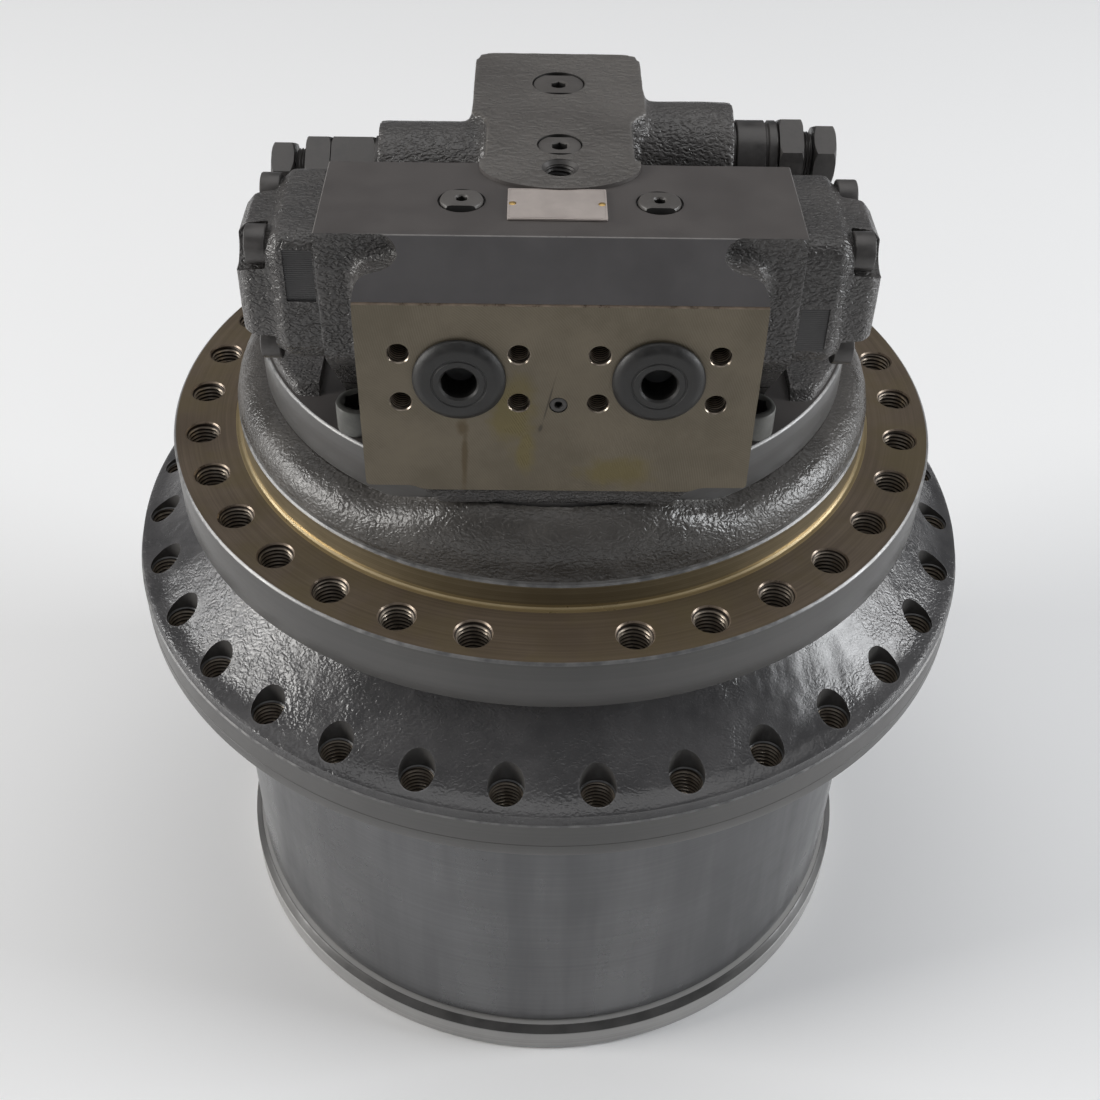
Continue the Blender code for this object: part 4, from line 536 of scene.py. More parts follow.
def roundLoop(points, cut, steps=3):
    # every corner of a closed outline gets a curve that starts its cut before and ends it after the corner
    loop = []
    count = len(points)
    for index in range(count):
        here = Vector(points[index])
        before = Vector(points[index - 1]) - here
        after = Vector(points[(index + 1) % count]) - here
        a = here + before.normalized() * min(cut, before.length * 0.48)
        b = here + after.normalized() * min(cut, after.length * 0.48)
        for step in range(steps + 1):
            t = step / steps
            loop.append(tuple(a * (1 - t) ** 2 + here * 2 * t * (1 - t) + b * t * t))
    return loop


def fillIn(points, spacing, closed=True):
    # extra points on the long stretches of an outline
    loop = []
    count = len(points)
    for index in range(count if closed else count - 1):
        a = Vector(points[index])
        b = Vector(points[(index + 1) % count])
        parts = max(1, int((b - a).length / spacing))
        loop.extend(tuple(a.lerp(b, part / parts)) for part in range(parts))
    if not closed:
        loop.append(tuple(points[-1]))
    return loop


def lathe(name, profile, material, steps=96, angles=None, middle=(0.0, 0.0)):
    # profile is (radius, height); either can also be a list with one value for each angle
    angles = angles or [math.tau * index / steps for index in range(steps)]
    count = len(angles)
    turns = [(math.cos(a), math.sin(a)) for a in angles]
    vertices = []
    rows = []
    for radius, height in profile:
        if not isinstance(radius, list) and radius <= 0:
            rows.append([len(vertices)])
            vertices.append((middle[0], middle[1], height))
            continue
        rows.append(list(range(len(vertices), len(vertices) + count)))
        spread = radius if isinstance(radius, list) else [radius] * count
        levels = height if isinstance(height, list) else [height] * count
        vertices.extend(
            (middle[0] + r * c, middle[1] + r * s, z) for r, z, (c, s) in zip(spread, levels, turns))
    faces = []
    pairs = list(zip(rows, rows[1:]))
    if len(rows[0]) > 1:
        pairs.append((rows[-1], rows[0]))
    for one, two in pairs:
        for index in range(count):
            after = (index + 1) % count
            if len(one) == 1:
                faces.append((one[0], two[index], two[after]))
            elif len(two) == 1:
                faces.append((one[index], two[0], one[after]))
            else:
                faces.append((one[index], two[index], two[after], one[after]))
    return turnOutward(meshObject(name, vertices, faces, [material]))


def solid(name, profile, material, steps=48, middle=(0.0, 0.0)):
    # a lathed solid, its profile closed at both ends on the axis
    line = [(0, profile[0][1]), *profile, (0, profile[-1][1])]
    return lathe(name, line, material, steps, middle=middle)


def move(piece, spot, turn):
    matrix = Matrix.Translation(spot) @ turn
    piece.data.transform(matrix)
    return turnOutward(piece) if matrix.determinant() < 0 else piece


def drill(piece, name, *sets):
    # each set is a profile, its material and steps, and the spots; all are cut in one go
    holes = [
        solid(name, profile, material, steps, spot) for profile, material, steps, spots in sets
        for spot in spots]
    return boolean(piece, merge(name, holes))


towardFront = Matrix.Rotation(math.pi / 2, 4, "X")


def extrude(name, outline, low, high, material, axis="Z"):
    # a flat outline pulled along an axis; for X the outline is (y, z), for Y it is (x, z)
    low, high = sorted((low, high))
    places = {
        "Z": lambda a, b, c: (a, b, c), "X": lambda a, b, c: (c, a, b),
        "Y": lambda a, b, c: (a, c, b)}[axis]
    count = len(outline)
    vertices = [places(a, b, low) for a, b in outline] + [places(a, b, high) for a, b in outline]
    faces = [tuple(range(count)), tuple(range(count, count * 2)), *ringFaces(0, count, count)]
    return turnOutward(meshObject(name, vertices, faces, [material]))


def threadTube(name, d, material):
    # a thin sleeve: threads on the side that faces away from the wall radius
    root, depth, base, top, pitch, wall, steps = (
        d[key] for key in ("root", "depth", "base", "top", "pitch", "wall", "steps"))
    rows = max(4, int((top - base) / pitch * 5))
    vertices = []
    grooves = []
    for row in range(rows + 1):
        z = base + (top - base) * row / rows
        fade = min(1.0, (rows - row) / 2.5, row / 1.5 + 0.2)
        for step in range(steps):
            angle = math.tau * step / steps
            phase = (z / pitch - step / steps) % 1.0
            ridge = 1.0 - abs(phase * 2 - 1)
            r = root - depth * ridge * fade if wall > root else root + depth * ridge * fade
            vertices.append((r * math.cos(angle), r * math.sin(angle), z))
            grooves.append(1.0 - ridge * fade)
    for z in (base, top):
        vertices.extend(
            (wall * math.cos(math.tau * i / steps), wall * math.sin(math.tau * i / steps), z)
            for i in range(steps))
    faces = []
    for row in range(rows):
        faces += ringFaces(row * steps, (row + 1) * steps, steps)
    low = (rows + 1) * steps
    high = low + steps
    ends = zip(ringFaces(0, low, steps), ringFaces(rows * steps, high, steps), ringFaces(low, high, steps))
    faces += [face for trio in ends for face in trio]
    piece = turnOutward(meshObject(name, vertices, faces, [material]))
    grooves += [1.0] * (len(vertices) - len(grooves))
    piece.data.attributes.new("groove", "FLOAT", "POINT").data.foreach_set("value", grooves)
    return piece


def repeatAt(name, master, places, material, seed, turned=True):
    # Geometry Nodes: the master on every point, each turned a little differently about its own axis
    tree = bpy.data.node_groups.new(name + "Repeat", "GeometryNodeTree")
    sockets = (
        ("Geometry", "INPUT", "Geometry"), ("Master", "INPUT", "Object"), ("Spread", "INPUT", "Float"),
        ("Seed", "INPUT", "Int"), ("Geometry", "OUTPUT", "Geometry"))
    for label, way, kind in sockets:
        tree.interface.new_socket(label, in_out=way, socket_type="NodeSocket" + kind)
    into = addNode(tree, "NodeGroupInput").outputs
    info = addNode(tree, "GeometryNodeObjectInfo", {"Object": into["Master"]})
    turn = addNode(
        tree, "FunctionNodeRandomValue", {2: 0.0, 3: into["Spread"], "Seed": into["Seed"]},
        data_type="FLOAT")
    spin = addNode(tree, "ShaderNodeCombineXYZ", {2: turn.outputs[1]})
    points = addNode(tree, "GeometryNodeMeshToPoints", {0: into["Geometry"]})
    given = {"Points": points.outputs[0], "Instance": info.outputs["Geometry"], "Rotation": spin.outputs[0]}
    instances = addNode(tree, "GeometryNodeInstanceOnPoints", given)
    real = addNode(tree, "GeometryNodeRealizeInstances", {0: instances.outputs[0]})
    dressed = addNode(tree, "GeometryNodeSetMaterial", {"Geometry": real.outputs[0], "Material": material})
    addNode(tree, "NodeGroupOutput", {0: dressed.outputs[0]})
    piece = meshObject(name, places, [], [material])
    modifier = piece.modifiers.new("repeat", "NODES")
    modifier.node_group = tree
    names = {item.name: item.identifier for item in tree.interface.items_tree if item.in_out == "INPUT"}
    modifier[names["Master"]] = master
    modifier[names["Spread"]] = math.tau if turned else 0.0
    modifier[names["Seed"]] = seed
    applyModifiers(piece)
    if not piece.data.materials:
        piece.data.materials.append(material)
    bpy.data.objects.remove(master)
    return turnOutward(piece)


def readValues(items, key, width, kind=float):
    values = np.empty(len(items) * width, dtype=kind)
    items.foreach_get(key, values)
    return values.reshape(-1, width)


def markWearAndShade(piece):
    # proud and sunk corners, from how far the neighbours lie below or above each corner; they drive rubbed
    # paint, and dirt with a painted shade
    mesh = piece.data
    count = len(mesh.vertices)
    spots = readValues(mesh.vertices, "co", 3)
    normals = readValues(mesh.vertices, "normal", 3)
    edges = readValues(mesh.edges, "vertices", 2, np.int64)
    rise = np.zeros(count)
    total = np.zeros(count)
    for a, b in ((0, 1), (1, 0)):
        way = spots[edges[:, b]] - spots[edges[:, a]]
        size = np.maximum(np.linalg.norm(way, axis=1), 1e-6)
        lift = (way * normals[edges[:, a]]).sum(1) / size
        np.add.at(rise, edges[:, a], lift)
        np.add.at(total, edges[:, a], 1.0)
    rise /= np.maximum(total, 1.0)
    for smoothing in range(2):
        spread = rise.copy()
        np.add.at(spread, edges[:, 0], rise[edges[:, 1]])
        np.add.at(spread, edges[:, 1], rise[edges[:, 0]])
        rise = spread / (total + 1.0)
    for label, values in (("proud", -rise), ("sunk", rise)):
        layer = mesh.attributes.new(label, "FLOAT", "POINT")
        layer.data.foreach_set("value", np.clip(values * 2.2, 0.0, 1.0).astype(np.float32))
    return piece


def roughen(piece, amount, size, pick=None):
    # uneven casting: corners moved in along their normals, never out of the outline
    mesh = piece.data
    normals = [vertex.normal.copy() for vertex in mesh.vertices]
    for vertex, normal in zip(mesh.vertices, normals):
        weight = 1.0 if pick is None else pick(vertex.co)
        if weight <= 0:
            continue
        lump = noise.noise(vertex.co / size) * 0.6 + noise.noise(vertex.co / (size * 0.3)) * 0.4
        vertex.co -= normal * (0.5 + 0.5 * lump) * amount * weight
    mesh.update()
    return piece


def castBlank(name, parts, voxel, material, smoothing=4):
    piece = merge(name, parts)
    remesh = piece.modifiers.new("skin", "REMESH")
    remesh.mode = "VOXEL"
    remesh.voxel_size = voxel
    smooth = piece.modifiers.new("smooth", "SMOOTH")
    smooth.factor = 0.5
    smooth.iterations = smoothing
    applyModifiers(piece)
    piece.data.materials.clear()
    piece.data.materials.append(material)
    piece.data.polygons.foreach_set("material_index", [0] * len(piece.data.polygons))
    return piece


def dressThreads(name, sleeve, places, material, body, seed, turned=True):
    piece = repeatAt(name, sleeve, places, material, seed, turned)
    dress(piece, body, angle=50, wearAndShade=False)


def dress(piece, body, nodes=(), angle=32.0, wearAndShade=True):
    finishSurface(piece, angle)
    if wearAndShade:
        markWearAndShade(piece)
    if nodes:
        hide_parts(*nodes)
    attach(piece, body)
    return piece


def dressPair(build, d, label, node, angle, wearAndShade=True):
    for side, word in ((-1, "left"), (1, "right")):
        piece = build(d, side)
        piece.name = word + label
        dress(piece, "motor_frame", [word + node], angle, wearAndShade)


# places that several pieces share
screwSpots = [(-0.105, -0.124), (0.105, -0.124), (0.105, 0.124), (-0.105, 0.124)]
portApart = 0.04785
portHeight = 0.532
testPort = (0, 0, 0.517)
spoolAxis = (0, -0.118, 0.556)
reliefHeight = 0.566
# which side each relief valve stands on, and its place along Y
reliefSpots = ((-1, -0.037), (1, -0.009))
checkSpot = (0.0474, -0.121)
eyeSpot = (0, -0.0895)
# the two oil galleries on the tower: middle, radius of the bore and of its plug
galleries = {
    "main": {"spot": (0, 0.0085), "bore": 0.0143, "plug": 0.0137},
    "small": {"spot": (0, -0.0645), "bore": 0.0116, "plug": 0.0110}}


def boltSpots(side):
    # the four bolts of one hose port
    return [(side * portApart + x * 0.0286, 0, portHeight + z * 0.0139) for x in (-1, 1) for z in (-1, 1)]


def facingOut(side):
    # turns the drive axis to point out at the left or right side
    return Matrix.Rotation(math.pi / 2 * side, 4, "Y")


# ring gear drum
print("drum")
drum = {
    "radius": 0.2228, "base": 0.0249, "top": 0.2817, "register": 0.2047, "registerFloor": 0.2637,
    "teeth": 64, "tip": 0.1866, "root": 0.1989, "tipHalf": 2.05, "rootHalf": 0.634, "edge": 0.0008,
    "lineHeight": 0.0034}


def buildDrum(d):
    pitch = 360.0 / d["teeth"]
    angles = []
    inner = []
    for tooth in range(d["teeth"]):
        for turn, radius in (
                (-pitch / 2, "tip"), (-d["tipHalf"], "tip"), (-d["rootHalf"], "root"), (0.0, "root"),
                (d["rootHalf"], "root"), (d["tipHalf"], "tip")):
            angles.append(math.radians(tooth * pitch + turn))
            inner.append(d[radius])
    e = d["edge"]
    r = d["radius"]
    low = d["base"]
    profile = [
        (inner, low), (r - 0.0030, low), (r - 0.0022, low + 0.0005), (r - 0.0022, low + 0.0016),
        (r - 0.0006, low + 0.0020), (r - 0.0003, low + 0.0022), (r - 0.0003, low + d["lineHeight"]),
        (r, low + d["lineHeight"] + 0.0004), (r, low + 0.02), (r, 0.10), (r, 0.18), (r, d["top"] - e * 2),
        (r - e * 0.3, d["top"] - e), (r - e, d["top"]), (d["register"] + e, d["top"]),
        (d["register"], d["top"] - e), (d["register"], d["registerFloor"]), (inner, d["registerFloor"])]
    piece = lathe("drumShell", profile, drumSteel, angles=angles)

    def look(away, z, up):
        if away < r - 0.012:
            return gearSteel
        # the groove at the drum's foot: a painted shade
        if z < low + 0.0018 and away > r - 0.004:
            return darkGroove
        # the thin line above the drum's foot: a painted edge highlight
        return paleEdge if abs(z - (low + d["lineHeight"] + 0.0002)) < 0.0003 else None

    return paintBy(piece, [drumSteel, darkGroove, gearSteel, paleEdge], look)


dress(buildDrum(drum), "sprocket_housing", ["ring_gear"], 25.0, wearAndShade=False)

# end cover
print("end cover")
endCover = {
    "radius": 0.230, "top": 0.0246, "chamfer": 0.0026, "plugCircle": 0.148, "plugAngles": (90.0, 210.0)}
drainPlug = {
    "radius": 0.0135, "base": -0.0105, "top": -0.0015, "socket": 0.0052, "depth": 0.006, "edge": 0.0008}


def buildEndCover(d):
    r = d["radius"]
    c = d["chamfer"]
    t = d["top"]
    profile = [
        (0.06, 0), (0.12, 0), (0.18, 0), (r - c, 0), (r - c * 0.4, c * 0.25), (r, c), (r, 0.010),
        (r, t - 0.0052), (r - 0.0003, t - 0.0048), (r - 0.0034, t - 0.0012), (r - 0.0042, t - 0.0003),
        (r - 0.0048, t), (0.186, t), (0.186, 0.0332), (0.1852, 0.034), (0.1748, 0.034), (0.174, 0.0332),
        (0.174, t), (0.165, t), (0.165, 0.0145), (0.1645, 0.014), (0.024, 0.014), (0.024, 0.0463),
        (0.0235, 0.0468)]
    piece = solid("drumCover", profile, coverSteel, 288)
    seat = [(0.0160, -0.002), (0.0150, 0.0), (0.0138, 0.0009), (0.0138, 0.0108)]
    spots = [polar(d["plugCircle"], angle) for angle in d["plugAngles"]]
    drill(piece, "plugSeats", (seat, darkGroove, 48, spots))

    def look(away, z, up):
        # the upward bevel just under the drum: a painted shade
        return coverEdge if z > t - 0.0046 and away > r - 0.0046 and up > 0.3 else None

    return paintBy(piece, [darkGroove, coverEdge], look)


def socketPlug(name, d, material, middle=(0.0, 0.0)):
    # a round plug with a chamfered rim and a hexagon socket
    radius, base, top, socket, edge = (d[key] for key in ("radius", "base", "top", "socket", "edge"))
    profile = [
        (radius - 0.0004, base), (radius, base + 0.0004), (radius, top - edge),
        (radius - edge * 0.3, top - edge * 0.3), (radius - edge, top), (socket * 1.22, top)]
    piece = solid(name, profile, material, 60, middle)
    loop = [polar(socket, 60 * i + 30, middle) for i in range(6)]
    # the hexagon socket walls: a painted shade
    boolean(piece, extrude("hexSocket", loop, top - d["depth"], top + 0.002, darkGroove))
    cone = solid(
        "hexLead", [(socket * 0.90, top - 0.0009), (socket * 1.16, top + 0.0001),
            (socket * 1.16, top + 0.002)], material, 36, middle)
    return boolean(piece, cone)


dress(buildEndCover(endCover), "sprocket_housing", ["end_cover"], 28.0, wearAndShade=False)
coverPlugs = []
for angle in endCover["plugAngles"]:
    plug = socketPlug("coverPlug", drainPlug, blackOxide)
    spot = (*polar(endCover["plugCircle"], angle), 0)
    coverPlugs.append(move(plug, spot, Matrix.Scale(-1, 4, (0, 0, 1))))
dress(
    merge("drainPlugs", coverPlugs), "sprocket_housing", ["drain_plug", "level_plug"],
    wearAndShade=False)

# sprocket hub
print("sprocket hub")
hub = {
    "rim": 0.270, "rimBase": 0.2805, "rimTop": 0.308,
    "cone": [(0.2680, 0.3118), (0.2655, 0.3132), (0.2560, 0.3180), (0.2434, 0.3276), (0.2301, 0.3388),
        (0.2206, 0.3478), (0.2162, 0.3530), (0.2146, 0.3568)], "topEdge": (0.2132, 0.358), "holes": 32,
    "circle": 0.2535, "holeRadius": 0.0102, "start": -90 + 5.625, "steps": 720}
hubThread = {
    "root": hub["holeRadius"] - 0.00005, "depth": 0.0015, "base": 0.2812, "top": 0.3114, "pitch": 0.0029,
    "wall": hub["holeRadius"] + 0.0003, "steps": 32}


def curveThrough(points, parts):
    # a smooth line through the points
    line = []
    ends = [points[0]] + list(points) + [points[-1]]
    for index in range(1, len(ends) - 2):
        a, b, c, d = (Vector(p) for p in ends[index - 1:index + 3])
        for part in range(parts):
            t = part / parts
            square = 2 * a - 5 * b + 4 * c - d
            cube = 3 * b - a - 3 * c + d
            line.append(tuple(0.5 * (2 * b + (c - a) * t + square * t * t + cube * t ** 3)))
    line.append(tuple(points[-1]))
    return line


def circlePlaces(d):
    step = 360.0 / d["holes"]
    skipped = d.get("skip", ())
    return [
        (*polar(d["circle"], d["start"] + step * k), 0.0) for k in range(d["holes"]) if k not in skipped]


def buildHub(d):
    cone = fillIn(curveThrough(d["cone"], 6), 0.0016, closed=False)
    r = d["rim"]
    low = d["rimBase"]
    profile = [
        (0.2044, 0.2640), (0.2044, 0.2820), (0.2234, 0.2820), (0.2234, low), (r - 0.0012, low),
        (r - 0.0003, low + 0.0003), (r, low + 0.0012), (r, low + 0.0085), (r - 0.0002, low + 0.0088),
        (r - 0.0002, low + 0.016), (r - 0.0002, d["rimTop"] - 0.0028), (r - 0.0012, d["rimTop"] - 0.0022),
        (r - 0.0022, d["rimTop"] + 0.0010), *cone, d["topEdge"], (0.1892, 0.358), (0.1880, 0.3568),
        (0.1877, 0.355), (0.1877, 0.340), (0.1837, 0.340), (0.1837, 0.3078), (0.1757, 0.3078),
        (0.1757, 0.2944), (0.1837, 0.2944), (0.1837, 0.2640)]
    piece = lathe("hubCasting", profile, conePaint, steps=d["steps"])

    def coneWeight(spot):
        away = math.hypot(spot.x, spot.y)
        if spot.z < 0.3128 or away < 0.2138:
            return 0.0
        return min(1.0, (spot.z - 0.3128) / 0.003, (0.3575 - spot.z) / 0.002)

    roughen(piece, 0.0012, 0.013, coneWeight)
    hole = [(d["holeRadius"], low - 0.002), (d["holeRadius"], 0.33)]
    drill(piece, "sprocketHoles", (hole, turnedPaint, 48, circlePlaces(d)))

    def look(away, z, up):
        if away < 0.2130 and z > 0.26:
            return spigotSteel
        if z < d["rimTop"] - 0.0027:
            return turnedPaint if away > r - 0.003 or up < -0.5 else None
        # the rim's upper chamfer: a painted edge highlight
        if z < d["rimTop"] - 0.0018 and away > r - 0.0016:
            return paleEdge
        return None

    return paintBy(piece, [turnedPaint, paleEdge, spigotSteel], look)


dress(buildHub(hub), "sprocket_housing", ["sprocket_hub"], 30.0)
sleeve = threadTube("sprocketThread", hubThread, threadSteel)
dressThreads("hubThreads", sleeve, circlePlaces(hub), threadSteel, "sprocket_housing", 7)
lead = hubThread["top"] - 0.0003
r = hub["holeRadius"]
# a pale lip at the top of each thread: a painted edge highlight
lip = lathe(
    "threadLead", [(r + 0.0003, lead), (r - 0.0008, lead), (r - 0.0008, lead + 0.0002),
        (r - 0.00002, lead + 0.0008), (r + 0.0003, lead + 0.0008)], paleEdge, 48)
dress(
    repeatAt("hubThreadLeads", lip, circlePlaces(hub), paleEdge, 3), "sprocket_housing",
    angle=30, wearAndShade=False)

# motor casing
print("motor casing")
casing = {
    "radius": 0.2354, "base": 0.363, "top": 0.396, "spigot": 0.1943, "spigotTop": 0.415, "crownTop": 0.436,
    "crownWidth": 0.0203, "holes": 32, "skip": (0, 16), "circle": 0.2177, "holeRadius": 0.0099,
    "start": -90.0, "steps": 640, "padFull": 13.0, "padEnd": 35.0}
frameThread = {
    "root": casing["holeRadius"] - 0.00005, "depth": 0.0013, "base": 0.3645, "top": 0.3948, "pitch": 0.0027,
    "wall": casing["holeRadius"] + 0.0003, "steps": 28}


def crownRows(d):
    # the quarter round of the crown; at the front it swells up to the ledge under the port face
    angles = [math.tau * index / d["steps"] for index in range(d["steps"])]
    plain = [
        (d["spigot"] - d["crownWidth"] + d["crownWidth"] * math.cos(math.radians(5 * step)),
            d["spigotTop"] + 0.021 * math.sin(math.radians(5 * step))) for step in range(1, 19)]
    swollen = curveThrough(
        [(0.1926, 0.4160), (0.1928, 0.4280), (0.1900, 0.4395), (0.1852, 0.4475), (0.1800, 0.4515)], 5)
    share = np.linspace(0.0, len(swollen) - 1.0, len(plain) - 1)
    swollen = [
        (np.interp(s, range(len(swollen)), [p[0] for p in swollen]),
            np.interp(s, range(len(swollen)), [p[1] for p in swollen]))
        for s in share] + [(0.1762, 0.4522)]
    weights = []
    for angle in angles:
        away = abs(math.degrees(math.remainder(angle + math.pi / 2, math.tau)))
        t = min(1.0, max(0.0, (d["padEnd"] - away) / (d["padEnd"] - d["padFull"])))
        weights.append(t * t * (3 - 2 * t))
    rows = []
    for (r, z), (padR, padZ) in zip(plain, swollen):
        rows.append(([r + (padR - r) * w for w in weights], [z + (padZ - z) * w for w in weights]))
    rows.append(([0.1740 + 0.0017 * w for w in weights], [d["crownTop"] + 0.0155 * w for w in weights]))
    rows.append(([0.1738 + 0.0017 * w for w in weights], d["crownTop"]))
    return rows


def buildCasing(d):
    r = d["radius"]
    low = d["base"]
    high = d["top"]
    s = d["spigot"]
    profile = [
        (0.140, 0.2062), (0.140, 0.2658), (0.150, 0.2658), (0.150, 0.3364), (0.168, 0.3364), (0.168, low),
        (r - 0.0012, low), (r - 0.0003, low + 0.0003), (r, low + 0.0012), (r, low + 0.012),
        (r, high - 0.0014), (r - 0.0003, high - 0.0008), (r - 0.0014, high), (s + 0.0035, high),
        (s + 0.0014, high + 0.0002), (s + 0.0003, high + 0.0010), (s - 0.0001, high + 0.0026),
        (s - 0.0001, high + 0.009), (s - 0.0001, d["spigotTop"] - 0.004),
        (s - 0.0012, d["spigotTop"] - 0.0030), (s - 0.0014, d["spigotTop"] - 0.0012), *crownRows(d),
        (0.120, 0.436), (0.120, 0.345), (0.105, 0.345), (0.105, 0.2602), (0.045, 0.2602), (0.045, 0.2062)]
    piece = lathe("frameCasting", profile, brownSteel, steps=d["steps"])

    def crownWeight(spot):
        away = math.hypot(spot.x, spot.y)
        return min(1.0, (spot.z - 0.4155) / 0.003) if spot.z > 0.4155 and away > 0.1757 else 0.0

    roughen(piece, 0.0010, 0.012, crownWeight)
    h = d["holeRadius"]
    hole = [
        (h + 0.0020, low - 0.002), (h, low + 0.0008), (h, high - 0.0009), (h + 0.0009, high + 0.0002),
        (h + 0.0009, high + 0.002)]
    drill(
        piece, "frameHoles", (hole, warmEdge, 40, circlePlaces(d)),
        ([(0.0086, 0.407), (0.0086, 0.44)], darkGroove, 32, screwSpots))

    def look(away, z, up):
        if z < low - 0.001 or away < 0.1745:
            return spigotSteel if z < 0.43 else None
        if z > d["spigotTop"] - 0.0006:
            return crownPaint if away > 0.174 else None
        # the spigot's top edge: a painted edge highlight
        if z > d["spigotTop"] - 0.0040:
            return paleEdge
        if z > high + 0.0030:
            return spigotSteel
        # the fillet at the spigot's foot: a painted edge highlight
        if z > high + 0.00005 and away < s + 0.004:
            return goldEdge
        # the flange's outer top edge: a painted edge highlight
        if away > r - 0.0016 and z > high - 0.0015:
            return paleEdge
        if away > r - 0.0016 and z > low:
            return turnedPaint
        return None

    return paintBy(piece, [crownPaint, paleEdge, spigotSteel, goldEdge, turnedPaint, brownSteel], look)


dress(buildCasing(casing), "motor_frame", ["motor_casing"], 30.0)
sleeve = threadTube("frameThread", frameThread, threadSteel)
dressThreads("frameThreads", sleeve, circlePlaces(casing), threadSteel, "motor_frame", 11)

# rear cover
print("rear cover")
cover = {
    "radius": 0.175, "base": 0.4363, "top": 0.464, "blockHalf": 0.115, "front": 0.154, "back": 0.082,
    "blockTop": 0.596, "wall": 0.527, "portFace": 0.177, "portHalf": 0.097, "portBase": 0.466,
    "portTop": 0.573, "ledgeHalf": 0.072, "bossRadius": 0.028, "towerTop": 0.598, "chamfer": 0.0015,
    "ridge": 0.00028, "grow": 0.0035, "voxel": 0.0023,
    "shoulderRun": (0.0, 0.03, 0.11, 0.26, 0.50, 0.73, 0.94, 1.0, 0.95, 0.81),
    "shoulderDrop": (1.0, 0.80, 0.655, 0.573, 0.53, 0.49, 0.41, 0.295, 0.17, 0.0), "shoulderReach": 0.0215,
    "shoulderHeight": 0.023}


def towerLoop(grow=0.0):
    head = 0.046 + grow
    stem = 0.038 + grow
    right = [
        (head - 0.010, 0.050 + grow), (head - 0.003, 0.047 + grow), (head, 0.040 + grow),
        (head, -0.028 - grow), (stem, -0.036 - grow)]
    nose = [(stem * x, -0.086 - (0.023 + grow) * y) for x, y in halfRound(1.0, (0.0, 0.0))]
    return right + nose + [(-x, y) for x, y in right[::-1]]


def buildCoverFlange(d):
    r = d["radius"]
    profile = [
        (0.120, d["base"]), (r - 0.0012, d["base"]), (r - 0.0003, d["base"] + 0.0005),
        (r, d["base"] + 0.0012), (r, 0.45), (r, d["top"] - 0.0014), (r - 0.0004, d["top"] - 0.0006),
        (r - 0.0013, d["top"]), (0.10, d["top"])]
    piece = solid("coverFlange", profile, turnedPaint, 480)
    hole = [(0.0086, 0.43), (0.0086, 0.4634), (0.0096, 0.4645), (0.0096, 0.47)]
    drill(piece, "screwBores", (hole, darkGroove, 36, screwSpots))

    def look(away, z, up):
        # the flange's outer edges: a painted edge highlight
        if away > r - 0.0016 and (z < d["base"] + 0.0012 or z > d["top"] - 0.0012):
            return paleEdge
        return machinedPaint if up > 0.9 else None

    return paintBy(piece, [paleEdge, machinedPaint], look)


def coverBlank(d):
    # the rough casting: everything that is left as cast, a little too big where it is machined
    g = d["grow"]
    top = d["blockTop"]
    parts = [solid("step", [(0.1725, 0.440), (0.1725, 0.4708)], castPaint, 160)]
    boolean(parts[0], extrude("stepCut", rectangle(-0.2, -0.2, 0.2, -0.0955), 0.4632, 0.48, castPaint))
    parts.append(extrude(
        "block", [(-d["front"], top + g), (-d["front"], d["wall"]), (-0.098, 0.468), (-0.098, 0.455),
            (0.040, 0.455), (0.040, 0.496), (-d["back"], d["wall"]), (-d["back"], top + g)],
        -d["blockHalf"] - g, d["blockHalf"] + g, castPaint, "X"))
    port = extrude(
        "port", [(-d["portFace"] - g, d["portBase"]), (-d["portFace"] - g, d["portTop"] + g),
            (-0.154 - g, top + g * 2), (-0.09, top + g * 2), (-0.09, d["portBase"])], -d["portHalf"],
        d["portHalf"], castPaint, "X")
    parts.append(port)
    half = d["ledgeHalf"]
    parts.append(extrude(
        "ledge", [(-half, 0.475), (-half, 0.465), (-half + 0.012, 0.453), (half - 0.012, 0.453),
            (half, 0.465), (half, 0.475)], -0.176, -0.098, castPaint, "Y"))
    parts.append(extrude("tower", towerLoop(0.0004), 0.455, d["towerTop"] + 0.0002, castPaint))
    r = d["bossRadius"]
    for side, middle in reliefSpots:
        arch = halfRound(r, (middle, reliefHeight)) + [(middle - r, 0.455), (middle + r, 0.455)]
        parts.append(extrude("boss", arch, side * 0.019, side * 0.0943, castPaint, "X"))
    for side in (-1, 1):
        # the cast recess that bites into each end of the sloping band
        line = [
            (side * (d["portHalf"] - run * d["shoulderReach"]), top - drop * d["shoulderHeight"])
            for run, drop in zip(d["shoulderRun"], d["shoulderDrop"])]
        loop = line + [
            (line[-1][0], top + 0.01), (side * 0.13, top + 0.01), (side * 0.13, d["portTop"] - 0.0002)]
        boolean(port, extrude("shoulder", loop, -0.19, -d["front"], castPaint, "Y"))
    piece = castBlank("coverCasting", parts, d["voxel"], castPaint)

    def skinWeight(spot):
        return 0.0 if spot.z < 0.4665 else 1.0

    roughen(piece, 0.0006, 0.022, skinWeight)
    for vertex in piece.data.vertices:
        if vertex.co.z > d["towerTop"] - 0.0001 and vertex.co.y > -0.117 and abs(vertex.co.x) < 0.07:
            vertex.co.z = d["towerTop"] - 0.0001
    return piece


